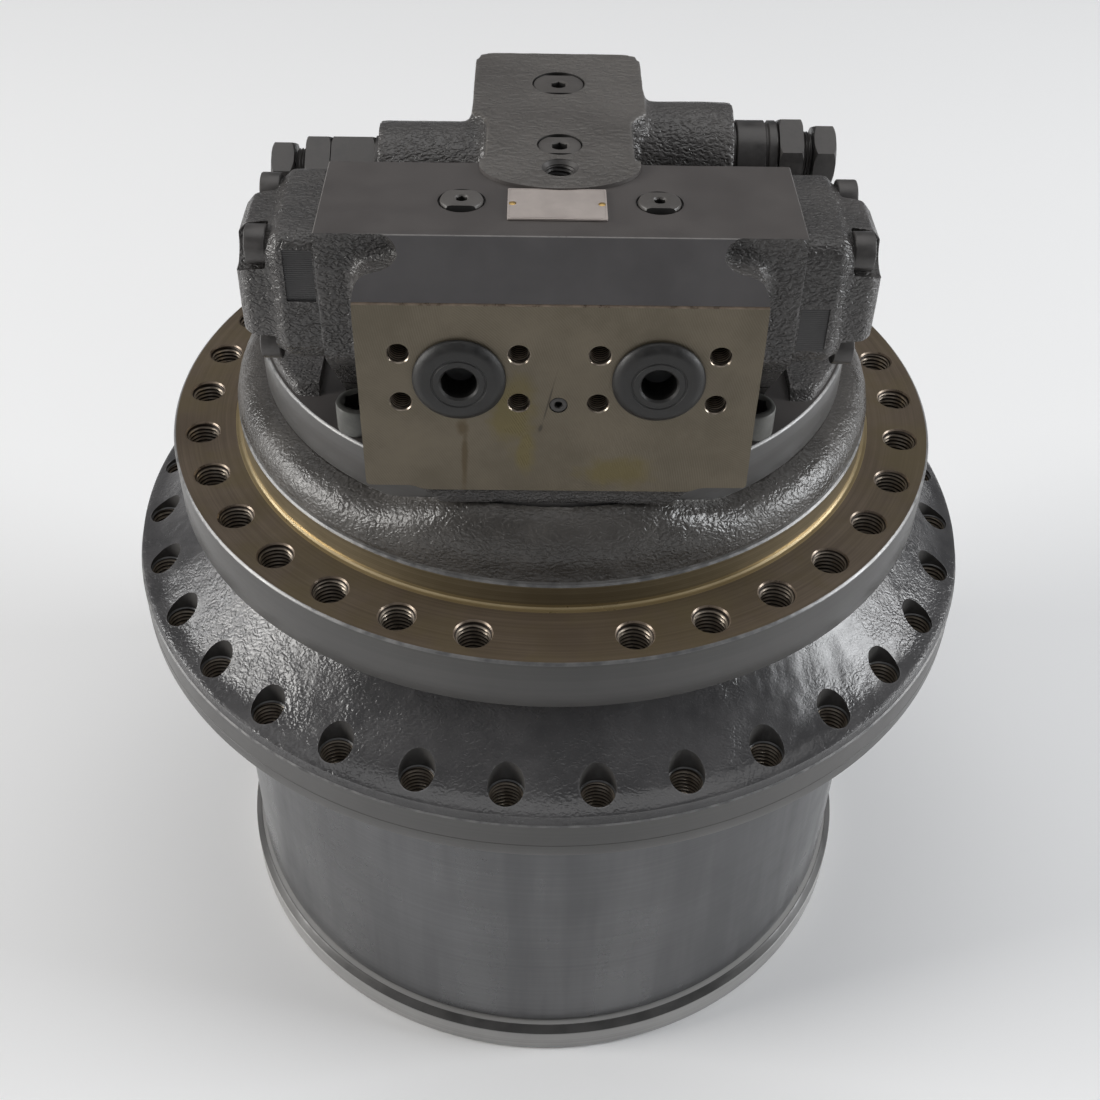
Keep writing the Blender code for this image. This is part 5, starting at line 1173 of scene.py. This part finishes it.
def machineCover(piece, d):
    # flat faces and their edges
    top = d["blockTop"]
    topCut = extrude("topCut", rectangle(-0.13, -0.17, 0.13, -0.070), top, top + 0.02, machinedPaint)
    boolean(topCut, extrude("keepTower", towerLoop(0.0022), top - 0.002, top + 0.03, machinedPaint))
    boolean(piece, topCut)
    half = d["portHalf"] + 0.002
    y = -d["portFace"]
    z = d["portTop"]
    cuts = [
        extrude("faceCut", rectangle(-half, 0.460, half, 0.62), -0.2, y, portSteel, "Y"),
        extrude("bandCut", [(y - 0.012, z - 0.012), (y + 0.033, z + 0.033), (y - 0.012, z + 0.033)], -half,
            half, bandPaint, "X")]
    # the port face's top chamfer is painted lighter: a painted edge highlight
    edge = d["chamfer"]
    cuts.append(extrude(
        "topChamfer", [(y - 0.002, z - edge - 0.001), (y + edge * 0.5, z + edge * 0.2),
            (y - 0.002, z + 0.006)], -half, half, warmEdge, "X"))
    # ridges in front of the top face and at both its ends, in a lighter colour: a painted edge highlight
    ridge = d["ridge"]
    front = y + top - z - ridge * 5.6
    back = y + top - z + ridge * 5.9
    cuts.append(extrude(
        "ridgeCut", [(front, top - ridge * 3), (back, top + ridge * 2), (back, top + 0.004),
            (front, top + 0.004)], -d["blockHalf"] - 0.001, d["blockHalf"] + 0.001, ridgePaint, "X"))
    for side in (-1, 1):
        near = side * (d["blockHalf"] - ridge * 4)
        far = side * (d["blockHalf"] + ridge * 2)
        cuts.append(extrude(
            "sideRidge", [(near, top + ridge * 2), (far, top - ridge * 4), (far, top + 0.004)], -0.156,
            -0.07, ridgePaint, "Y"))
    for side in (-1, 1):
        cuts.append(extrude(
            "capSeat", rectangle(-0.17, 0.45, -0.05, 0.61), side * 0.13, side * d["blockHalf"], castPaint,
            "X"))
    for cut in cuts:
        boolean(piece, cut)


def coverBores(d):
    holes = []

    def bore(profile, material, middle=(0.0, 0.0), steps=48):
        holes.append(solid("bore", profile, material, steps, middle))
        return holes[-1]

    top = d["blockTop"]
    high = d["towerTop"]
    # near-black bores: a painted shade in the holes
    for gallery in galleries.values():
        bore([(gallery["bore"], 0.5851), (gallery["bore"], high + 0.004)], darkGroove, gallery["spot"])
    bore(
        [(0.0076, high - 0.024), (0.0076, high - 0.0022), (0.0092, high - 0.0004), (0.0092, high + 0.004)],
        blackOxide, eyeSpot)
    for side in (-1, 1):
        # the check plug recesses: a painted shade
        bore(
            [(0.0107, 0.5857), (0.0107, top - 0.0016), (0.0112, top - 0.0014), (0.0116, top + 0.0002),
                (0.0116, top + 0.004)], coverEdge, (side * checkSpot[0], checkSpot[1]))
    for spot in screwSpots:
        bore([(0.0142, 0.4641), (0.0142, 0.4805), (0.0175, 0.4835)], machinedPaint, spot)
    for side in (-1, 1):
        for spot in boltSpots(side):
            hole = bore(
                [(0.0052, 0.157), (0.0052, 0.1764), (0.0058, 0.1772), (0.0058, 0.18)], threadSteel,
                steps=32)
            move(hole, spot, towardFront)
        port = bore([(0.0127, 0.147), (0.0127, 0.180)], darkGroove)
        move(port, (side * portApart, 0, portHeight), towardFront)
    test = bore([(0.0045, 0.1677), (0.0045, 0.180)], darkGroove, steps=32)
    move(test, testPort, towardFront)
    for side, middle in reliefSpots:
        hole = bore([(0.0130, 0.072), (0.0130, 0.097)], darkGroove)
        move(hole, (0, middle, reliefHeight), facingOut(side))
    spool = bore([(0.0143, -0.117), (0.0143, 0.117)], darkGroove)
    move(spool, spoolAxis, facingOut(1))
    return merge("bores", holes)


def paintTower(piece):
    # only what is still as cast and faces up turns into the tower's coarser skin, in a lighter colour that
    # is painted light on the upward faces
    materials = piece.data.materials
    cast = max(index for index, slot in enumerate(materials) if slot.name == "castPaint")
    materials.append(towerPaint)
    for face in piece.data.polygons:
        c = face.center
        above = c.z > 0.5962 and (c.y > -0.080 or abs(c.x) < 0.042)
        if face.material_index == cast and above and face.normal.z > 0.2:
            face.material_index = len(materials) - 1


def buildRearCover(d):
    piece = coverBlank(d)
    machineCover(piece, d)
    boolean(piece, coverBores(d))
    paintTower(piece)
    return piece


dress(buildCoverFlange(cover), "motor_frame", angle=30.0)
dress(buildRearCover(cover), "motor_frame", ["rear_cover"], 35.0)
eyeThread = {
    "root": 0.0076, "depth": 0.0009, "base": 0.5748, "top": 0.5952, "pitch": 0.0021, "wall": 0.0079,
    "steps": 32}
sleeve = threadTube("eyeThread", eyeThread, blackOxide)
dressThreads("eyeThreads", sleeve, [(*eyeSpot, 0)], blackOxide, "motor_frame", 5)
portThread = {
    "root": 0.0052, "depth": 0.0007, "base": 0.1585, "top": 0.1755, "pitch": 0.0018, "wall": 0.0055,
    "steps": 20}
sleeve = move(threadTube("portThread", portThread, threadSteel), (0, 0, 0), towardFront)
dressThreads(
    "portThreads", sleeve, boltSpots(-1) + boltSpots(1), threadSteel, "motor_frame", 9, turned=False)

# spool caps
print("spool caps")
cap = {
    "start": 0.1153, "length": 0.040, "corner": 0.012, "middle": (-0.113, 0.549),
    "loft": ((0.0, 1.0), (0.46, 1.0), (0.56, 0.91), (0.88, 0.87), (1.0, 0.74)),
    "outline": [(-0.152, 0.592), (-0.152, 0.527), (-0.122, 0.506), (-0.086, 0.506), (-0.074, 0.527),
        (-0.074, 0.592)], "bolts": ((-0.138, 0.581), (-0.131, 0.523), (-0.086, 0.581), (-0.090, 0.522)),
    "pocket": 0.0125, "seat": 0.1393, "openPocket": 1, "patchX": (0.1165, 0.1306),
    "patchZ": {-1: (0.5580, 0.5860), 1: (0.5300, 0.5570)}, "chamber": 0.019, "chamberEnd": 0.1372}
capBolt = {
    "radius": 0.0095, "base": cap["seat"] - 0.0002, "top": cap["seat"] + 0.0098, "socket": 0.0046,
    "depth": 0.0055, "edge": 0.0010}


def capBlank(d, side):
    # the cap's outline, drawn in step by step towards its outer end
    outline = fillIn(roundLoop(d["outline"], d["corner"], 6), 0.006)
    vertices = []
    for along, size in ((-0.1, 1.0), *d["loft"]):
        x = side * (d["start"] + along * d["length"])
        for y, z in outline:
            vertices.append((
                x, d["middle"][0] + (y - d["middle"][0]) * size,
                d["middle"][1] + (z - d["middle"][1]) * size))
    count = len(outline)
    faces = [tuple(range(count)), tuple(range(count * len(d["loft"]), count * (len(d["loft"]) + 1)))]
    for row in range(len(d["loft"])):
        faces += ringFaces(row * count, (row + 1) * count, count)
    blank = turnOutward(meshObject("blank", vertices, faces, [castPaint]))
    return roughen(castBlank("spoolCap", [blank], 0.0016, castPaint, 5), 0.0005, 0.020)


def buildCap(d, side):
    piece = capBlank(d, side)
    flip = facingOut(side)
    for y, z in d["bolts"]:
        pocket = solid(
            "pocket", [(d["pocket"] - 0.001, d["seat"]), (d["pocket"], d["seat"] + 0.001),
                (d["pocket"], 0.16)], castPaint)
        boolean(piece, move(pocket, (0, y, z), flip))
    # the lower pocket in front is open to its side
    y, z = d["bolts"][d["openPocket"]]
    opening = rectangle(y, z + d["pocket"], -0.17, z - 0.03)
    boolean(piece, extrude("openPocket", opening, side * d["seat"], side * 0.16, castPaint, "X"))
    seat = extrude(
        "seatCut", rectangle(-0.16, 0.49, -0.06, 0.60), side * 0.10, side * (d["start"] + 0.0001),
        machinedPaint, "X")
    boolean(piece, seat)

    def chamber():
        # the spool runs in here at the end of its stroke
        tool = solid("chamber", [(d["chamber"], 0.110), (d["chamber"], d["chamberEnd"])], darkGroove)
        return move(tool, spoolAxis, flip)

    boolean(piece, chamber())
    near, far = (side * x for x in d["patchX"])
    low, high = d["patchZ"][side]
    boolean(piece, extrude("patchCut", rectangle(near, low, far, high), -0.16, -0.1508, ribbedPaint, "Y"))
    # a thin sheet in the seam between cap and block: a painted edge highlight
    seam = [
        (y + (0.0003 if y > d["middle"][0] else -0.0003), z + (0.0003 if z > d["middle"][1] else -0.0003))
        for y, z in roundLoop(d["outline"], d["corner"], 6)]
    gasket = extrude("gasket", seam, side * 0.1149, side * (d["start"] + 0.0002), paleEdge, "X")
    bolts = [boolean(gasket, chamber())]
    for y, z in d["bolts"]:
        bolts.append(move(socketPlug("capBolt", capBolt, blackOxide), (0, y, z), flip))
    return merge("spoolCap", [piece] + bolts)


dressPair(buildCap, cap, "SpoolCap", "_spool_cap", 35.0)

# relief valves
print("relief valves")


def hexRod(name, radius, base, top, material, chamfer=0.0018):
    # a hexagon with the round chamfers that a lathe leaves on its corners
    rod = extrude(name, [polar(radius, 60 * i) for i in range(6)], base, top, material)
    cone = solid(
        "cone", [(radius - chamfer, base), (radius + 0.0002, base + chamfer * 0.75),
            (radius + 0.0002, top - chamfer * 0.75), (radius - chamfer, top)], material, 72)
    return boolean(rod, cone, "INTERSECT")


relief = {
    "left": {"spot": reliefSpots[0], "bodyRadius": 0.0212, "hexBody": True},
    "right": {"spot": reliefSpots[1], "bodyRadius": 0.0185, "hexBody": False}}
adjusterThread = {
    "root": 0.0122, "depth": 0.0009, "base": 0.1200, "top": 0.1380, "pitch": 0.0015, "wall": 0.0115,
    "steps": 36}


def buildRelief(label):
    d = relief[label]
    side, middle = d["spot"]
    r = d["bodyRadius"]
    stem = [(0.0127, 0.0726), (0.0127, 0.1170), (0.0122, 0.1180), (0.0122, 0.1372), (0.0112, 0.1384)]
    washer = [
        (0.012, 0.0943), (r - 0.0020, 0.0943), (r - 0.0014, 0.0948), (r - 0.0014, 0.0962),
        (r - 0.0020, 0.0966), (0.012, 0.0966)]
    body = [solid("stem", stem, blackOxide), lathe("washer", washer, blackOxide, 64)]
    if d["hexBody"]:
        body.append(hexRod("bodyHex", r, 0.0966, 0.1192, blackOxide))
    else:
        body.append(solid(
            "bodyRound", [(r - 0.0006, 0.0966), (r, 0.0972), (r, 0.1120), (r - 0.0012, 0.1128),
                (r - 0.0012, 0.1136), (r, 0.1144), (r, 0.1182), (r - 0.0010, 0.1192)], blackOxide, 72))
    body.append(threadTube("adjuster", adjusterThread, blackOxide))
    nut = hexRod("nut", 0.0211, 0.1197, 0.1325, blackOxide)
    boolean(nut, solid("nutBore", [(0.0135, 0.118), (0.0135, 0.134)], blackOxide))
    end = hexRod("end", 0.0175, 0.1390, 0.1508, blackOxide, 0.0022)
    boolean(
        end, lathe("dimple", [(0, 0.1488), (0.0035, 0.1492), (0.0045, 0.152), (0, 0.152)], darkGroove, 32))
    parts = {
        "Body": (merge("body", body), "_relief_body"), "Nut": (nut, "_relief_locknut"),
        "Cap": (end, "_relief_cap")}
    for key, (piece, node) in parts.items():
        piece.name = label + "Relief" + key
        move(piece, (0, middle, reliefHeight), facingOut(side))
        dress(piece, "motor_frame", [label + node], 30.0, wearAndShade=False)


buildRelief("left")
buildRelief("right")

# plugs and screws
print("plugs and screws")


def millFlats(piece, middle, reach, floor, material):
    # two flats for a spanner, in front and behind
    for way in (-1, 1):
        low, high = sorted((middle[1] + way * reach, middle[1] + way * (reach + 0.008)))
        loop = rectangle(middle[0] - 0.02, low, middle[0] + 0.02, high)
        boolean(piece, extrude("flat", loop, floor, 0.60, material))
    return piece


rubberPlug = {"radius": 0.0225, "seat": 0.1773, "crown": 0.1818, "recess": 0.0085}


def buildPortPlug(d, side):
    r = d["radius"]
    s = d["seat"]
    c = d["crown"]
    profile = [
        (0, 0.1550), (0.0118, 0.1550), (0.0124, 0.1556), (0.0124, s), (r - 0.0004, s), (r, s + 0.0004),
        (r, s + 0.0012), (r - 0.0005, s + 0.0020), (r - 0.0018, s + 0.0032), (r - 0.0034, c - 0.0002),
        (r - 0.0050, c), (r - 0.0088, c), (r - 0.0092, c - 0.0004), (r - 0.0098, c - 0.0004),
        (r - 0.0102, c), (d["recess"] + 0.0012, c), (d["recess"] + 0.0002, c - 0.0010),
        (d["recess"] - 0.0004, c - 0.0150), (d["recess"] - 0.0014, c - 0.0158), (0, c - 0.0160)]
    piece = lathe("portPlug", profile, rubber, 96)
    return move(piece, (side * portApart, 0, portHeight), towardFront)


dressPair(buildPortPlug, rubberPlug, "PortPlug", "_port_plug", 40.0, wearAndShade=False)

testPlug = {
    "radius": 0.0042, "base": 0.1681, "top": 0.1768, "socket": 0.0019, "depth": 0.0035, "edge": 0.0004}
piece = move(socketPlug("testPlug", testPlug, blackOxide), testPort, towardFront)
dress(piece, "motor_frame", ["test_port_plug"], wearAndShade=False)

galleryPlug = {
    "base": 0.5856, "top": 0.5974, "socket": 0.0044, "depth": 0.006, "edge": 0.0006, "flat": 0.80,
    "flatFloor": 0.5956}
for label, gallery in galleries.items():
    spot = gallery["spot"]
    radius = gallery["plug"]
    piece = socketPlug(label + "GalleryPlug", {**galleryPlug, "radius": radius}, plugPaint, spot)
    # the low flats beside the plug recess: a painted shade
    millFlats(piece, spot, radius * galleryPlug["flat"], galleryPlug["flatFloor"], coverEdge)
    dress(piece, "motor_frame", [label + "_gallery_plug"], 30.0, wearAndShade=False)


checkPlug = {
    "radius": 0.0104, "base": 0.5861, "top": 0.5975, "socket": 0.0030, "depth": 0.0045, "edge": 0.0014,
    "flat": 0.0077, "flatFloor": 0.5938}


def buildCheckPlug(d, side):
    middle = (side * checkSpot[0], checkSpot[1])
    piece = socketPlug("checkPlug", d, plugPaint, middle)
    return millFlats(piece, middle, d["flat"], d["flatFloor"], coverEdge)


dressPair(buildCheckPlug, checkPlug, "CheckPlug", "_check_plug", 30.0, wearAndShade=False)

namePlate = {
    "x": -0.0017, "y": -0.125, "wide": 0.0474, "deep": 0.0295, "base": 0.5963, "thick": 0.0008,
    "corner": 0.0008, "rimOut": 0.0008, "rimIn": 0.0012, "pinRadius": 0.0018, "pinInset": 0.0024}


def buildNamePlate(d):
    x, y, w, h = d["x"], d["y"], d["wide"] / 2, d["deep"] / 2
    base = d["base"]
    face = base + d["thick"]

    def line(inset):
        return roundLoop(rectangle(x - w + inset, y - h + inset, x + w - inset, y + h - inset), d["corner"])

    sheet = extrude("sheet", line(0.0), base, face, plate)
    rim = extrude("rim", line(d["rimOut"]), face - 0.0001, base + 0.002, plate)
    boolean(rim, extrude("rimInner", line(d["rimIn"]), base, base + 0.003, plate))
    boolean(sheet, rim)
    r = d["pinRadius"]
    profile = [
        (r, base + 0.0002), (r, face + 0.00005), (r - 0.0004, base + 0.00105), (r - 0.0011, base + 0.0012)]
    pins = [solid("pin", profile, brass, 24, (x + side * (w - d["pinInset"]), y)) for side in (-1, 1)]
    return merge("namePlate", [sheet] + pins)


dress(buildNamePlate(namePlate), "motor_frame", ["nameplate"], 30.0, wearAndShade=False)

coverScrew = {
    "radius": 0.0120, "base": 0.4643, "top": 0.4803, "socket": 0.0081, "depth": 0.0080, "edge": 0.0014,
    "shank": 0.0080, "end": 0.4092}


def buildCoverScrew(d, spot):
    head = socketPlug("screw", d, screwSteel, spot)
    r = d["shank"]
    high = d["base"] + 0.0007
    profile = [(r - 0.001, d["end"]), (r, d["end"] + 0.001), (r, high)]
    return merge("coverScrew", [head, solid("shank", profile, screwSteel, 32, spot)])


dress(
    merge("coverScrews", [buildCoverScrew(coverScrew, spot) for spot in screwSpots]), "motor_frame",
    ["cover_screw_1", "cover_screw_2", "cover_screw_3", "cover_screw_4"], 30.0, wearAndShade=False)

# the working parts inside
print("inner parts")
# each CAD node wears the finish that its material slot is named after
insideLooks = {
    "gear_steel": gearSteel, "bearing_steel": bearingSteel, "bronze": bronze, "cast_paint": castPaint,
    "drum_steel": drumSteel, "black_oxide": blackOxide, "black_rubber": rubber, "plain_plate": plate}
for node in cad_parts.values():
    for index, used in enumerate(node.data.materials):
        node.data.materials[index] = insideLooks[used.name.split(".")[0]]

# floor, light, camera
print("stage")
stage = {"floor": 6.0, "shown": (0.745, 0.745, 0.745, 1), "sky": (0.93, 0.95, 1.0, 1), "skyPower": 0.16}


def buildFloor(d):
    s = d["floor"]
    piece = meshObject("studioFloor", [(-s, -s, 0), (s, -s, 0), (s, s, 0), (-s, s, 0)], [(0, 1, 2, 3)], [])
    material, tree = newMaterial("floorPaper", 0.95, 0.0, 0.1)
    tint = noiseHere(tree, 2.0, 2.0)
    shader = tree.nodes["Principled BSDF"]
    tree.links.new(
        mixColour(tree, tint, (0.885, 0.885, 0.885), (0.90, 0.90, 0.90)), shader.inputs["Base Color"])
    piece.data.materials.append(material)
    return piece


buildFloor(stage)

world = bpy.data.worlds.new("studio")
scene.world = world
world.use_nodes = True
tree = world.node_tree
tree.nodes.clear()
path = addNode(tree, "ShaderNodeLightPath")
shown = addNode(tree, "ShaderNodeBackground", {"Color": stage["shown"], "Strength": 1.0})
lit = addNode(tree, "ShaderNodeBackground", {"Color": stage["sky"], "Strength": stage["skyPower"]})
both = addNode(
    tree, "ShaderNodeMixShader", {0: path.outputs["Is Camera Ray"], 1: lit.outputs[0], 2: shown.outputs[0]})
addNode(tree, "ShaderNodeOutputWorld", {"Surface": both.outputs[0]})


def areaLight(name, spot, target, size, power, colour=(1, 1, 1)):
    lamp = bpy.data.lights.new(name, "AREA")
    lamp.shape = "RECTANGLE"
    lamp.size = size[0]
    lamp.size_y = size[1]
    lamp.energy = power
    lamp.color = colour
    piece = bpy.data.objects.new(name, lamp)
    piece.location = spot
    piece.rotation_euler = (Vector(target) - Vector(spot)).to_track_quat("-Z", "Y").to_euler()
    scene.collection.objects.link(piece)
    return piece


areaLight("overhead", (0.0, 0.6, 4.2), (0, 0, 0.3), (5.0, 4.0), 82.0)
areaLight("sideLeft", (-5.0, -0.6, 1.8), (0, 0, 0.3), (2.0, 2.6), 225.0, (1.0, 0.985, 0.96))
areaLight("sideRight", (5.0, -0.2, 1.7), (0, 0, 0.3), (2.0, 2.6), 205.0, (0.96, 0.98, 1.0))
# narrow lamps that only show as reflections in paint and metal
for name, spot, power in (("glintLeft", (-1.9, 0.42, 1.0), 6.2), ("glintRight", (1.9, 0.42, 1.0), 4.8)):
    lamp = areaLight(name, spot, (0, -0.05, 0.42), (0.22, 0.7), power)
    lamp.visible_diffuse = False

# where the photograph was taken from; the focal length is in pixels of its width
shot = {
    "right": (0.99986, -0.00405, 0.01638), "up": (-0.00949, 0.66790, 0.74419),
    "spot": (-0.01306, -0.73871, 0.92647), "focal": 1423.3, "width": 1100, "sensor": 36.0}
camera = bpy.data.cameras.new("photoView")
camera.sensor_width = shot["sensor"]
camera.lens = shot["sensor"] * shot["focal"] / shot["width"]
view = bpy.data.objects.new("photoView", camera)
right = Vector(shot["right"])
up = Vector(shot["up"])
turn = Matrix((right, up, right.cross(up))).transposed().to_4x4()
view.matrix_world = Matrix.Translation(shot["spot"]) @ turn
scene.collection.objects.link(view)
scene.camera = view
scene.view_settings.view_transform = "Standard"
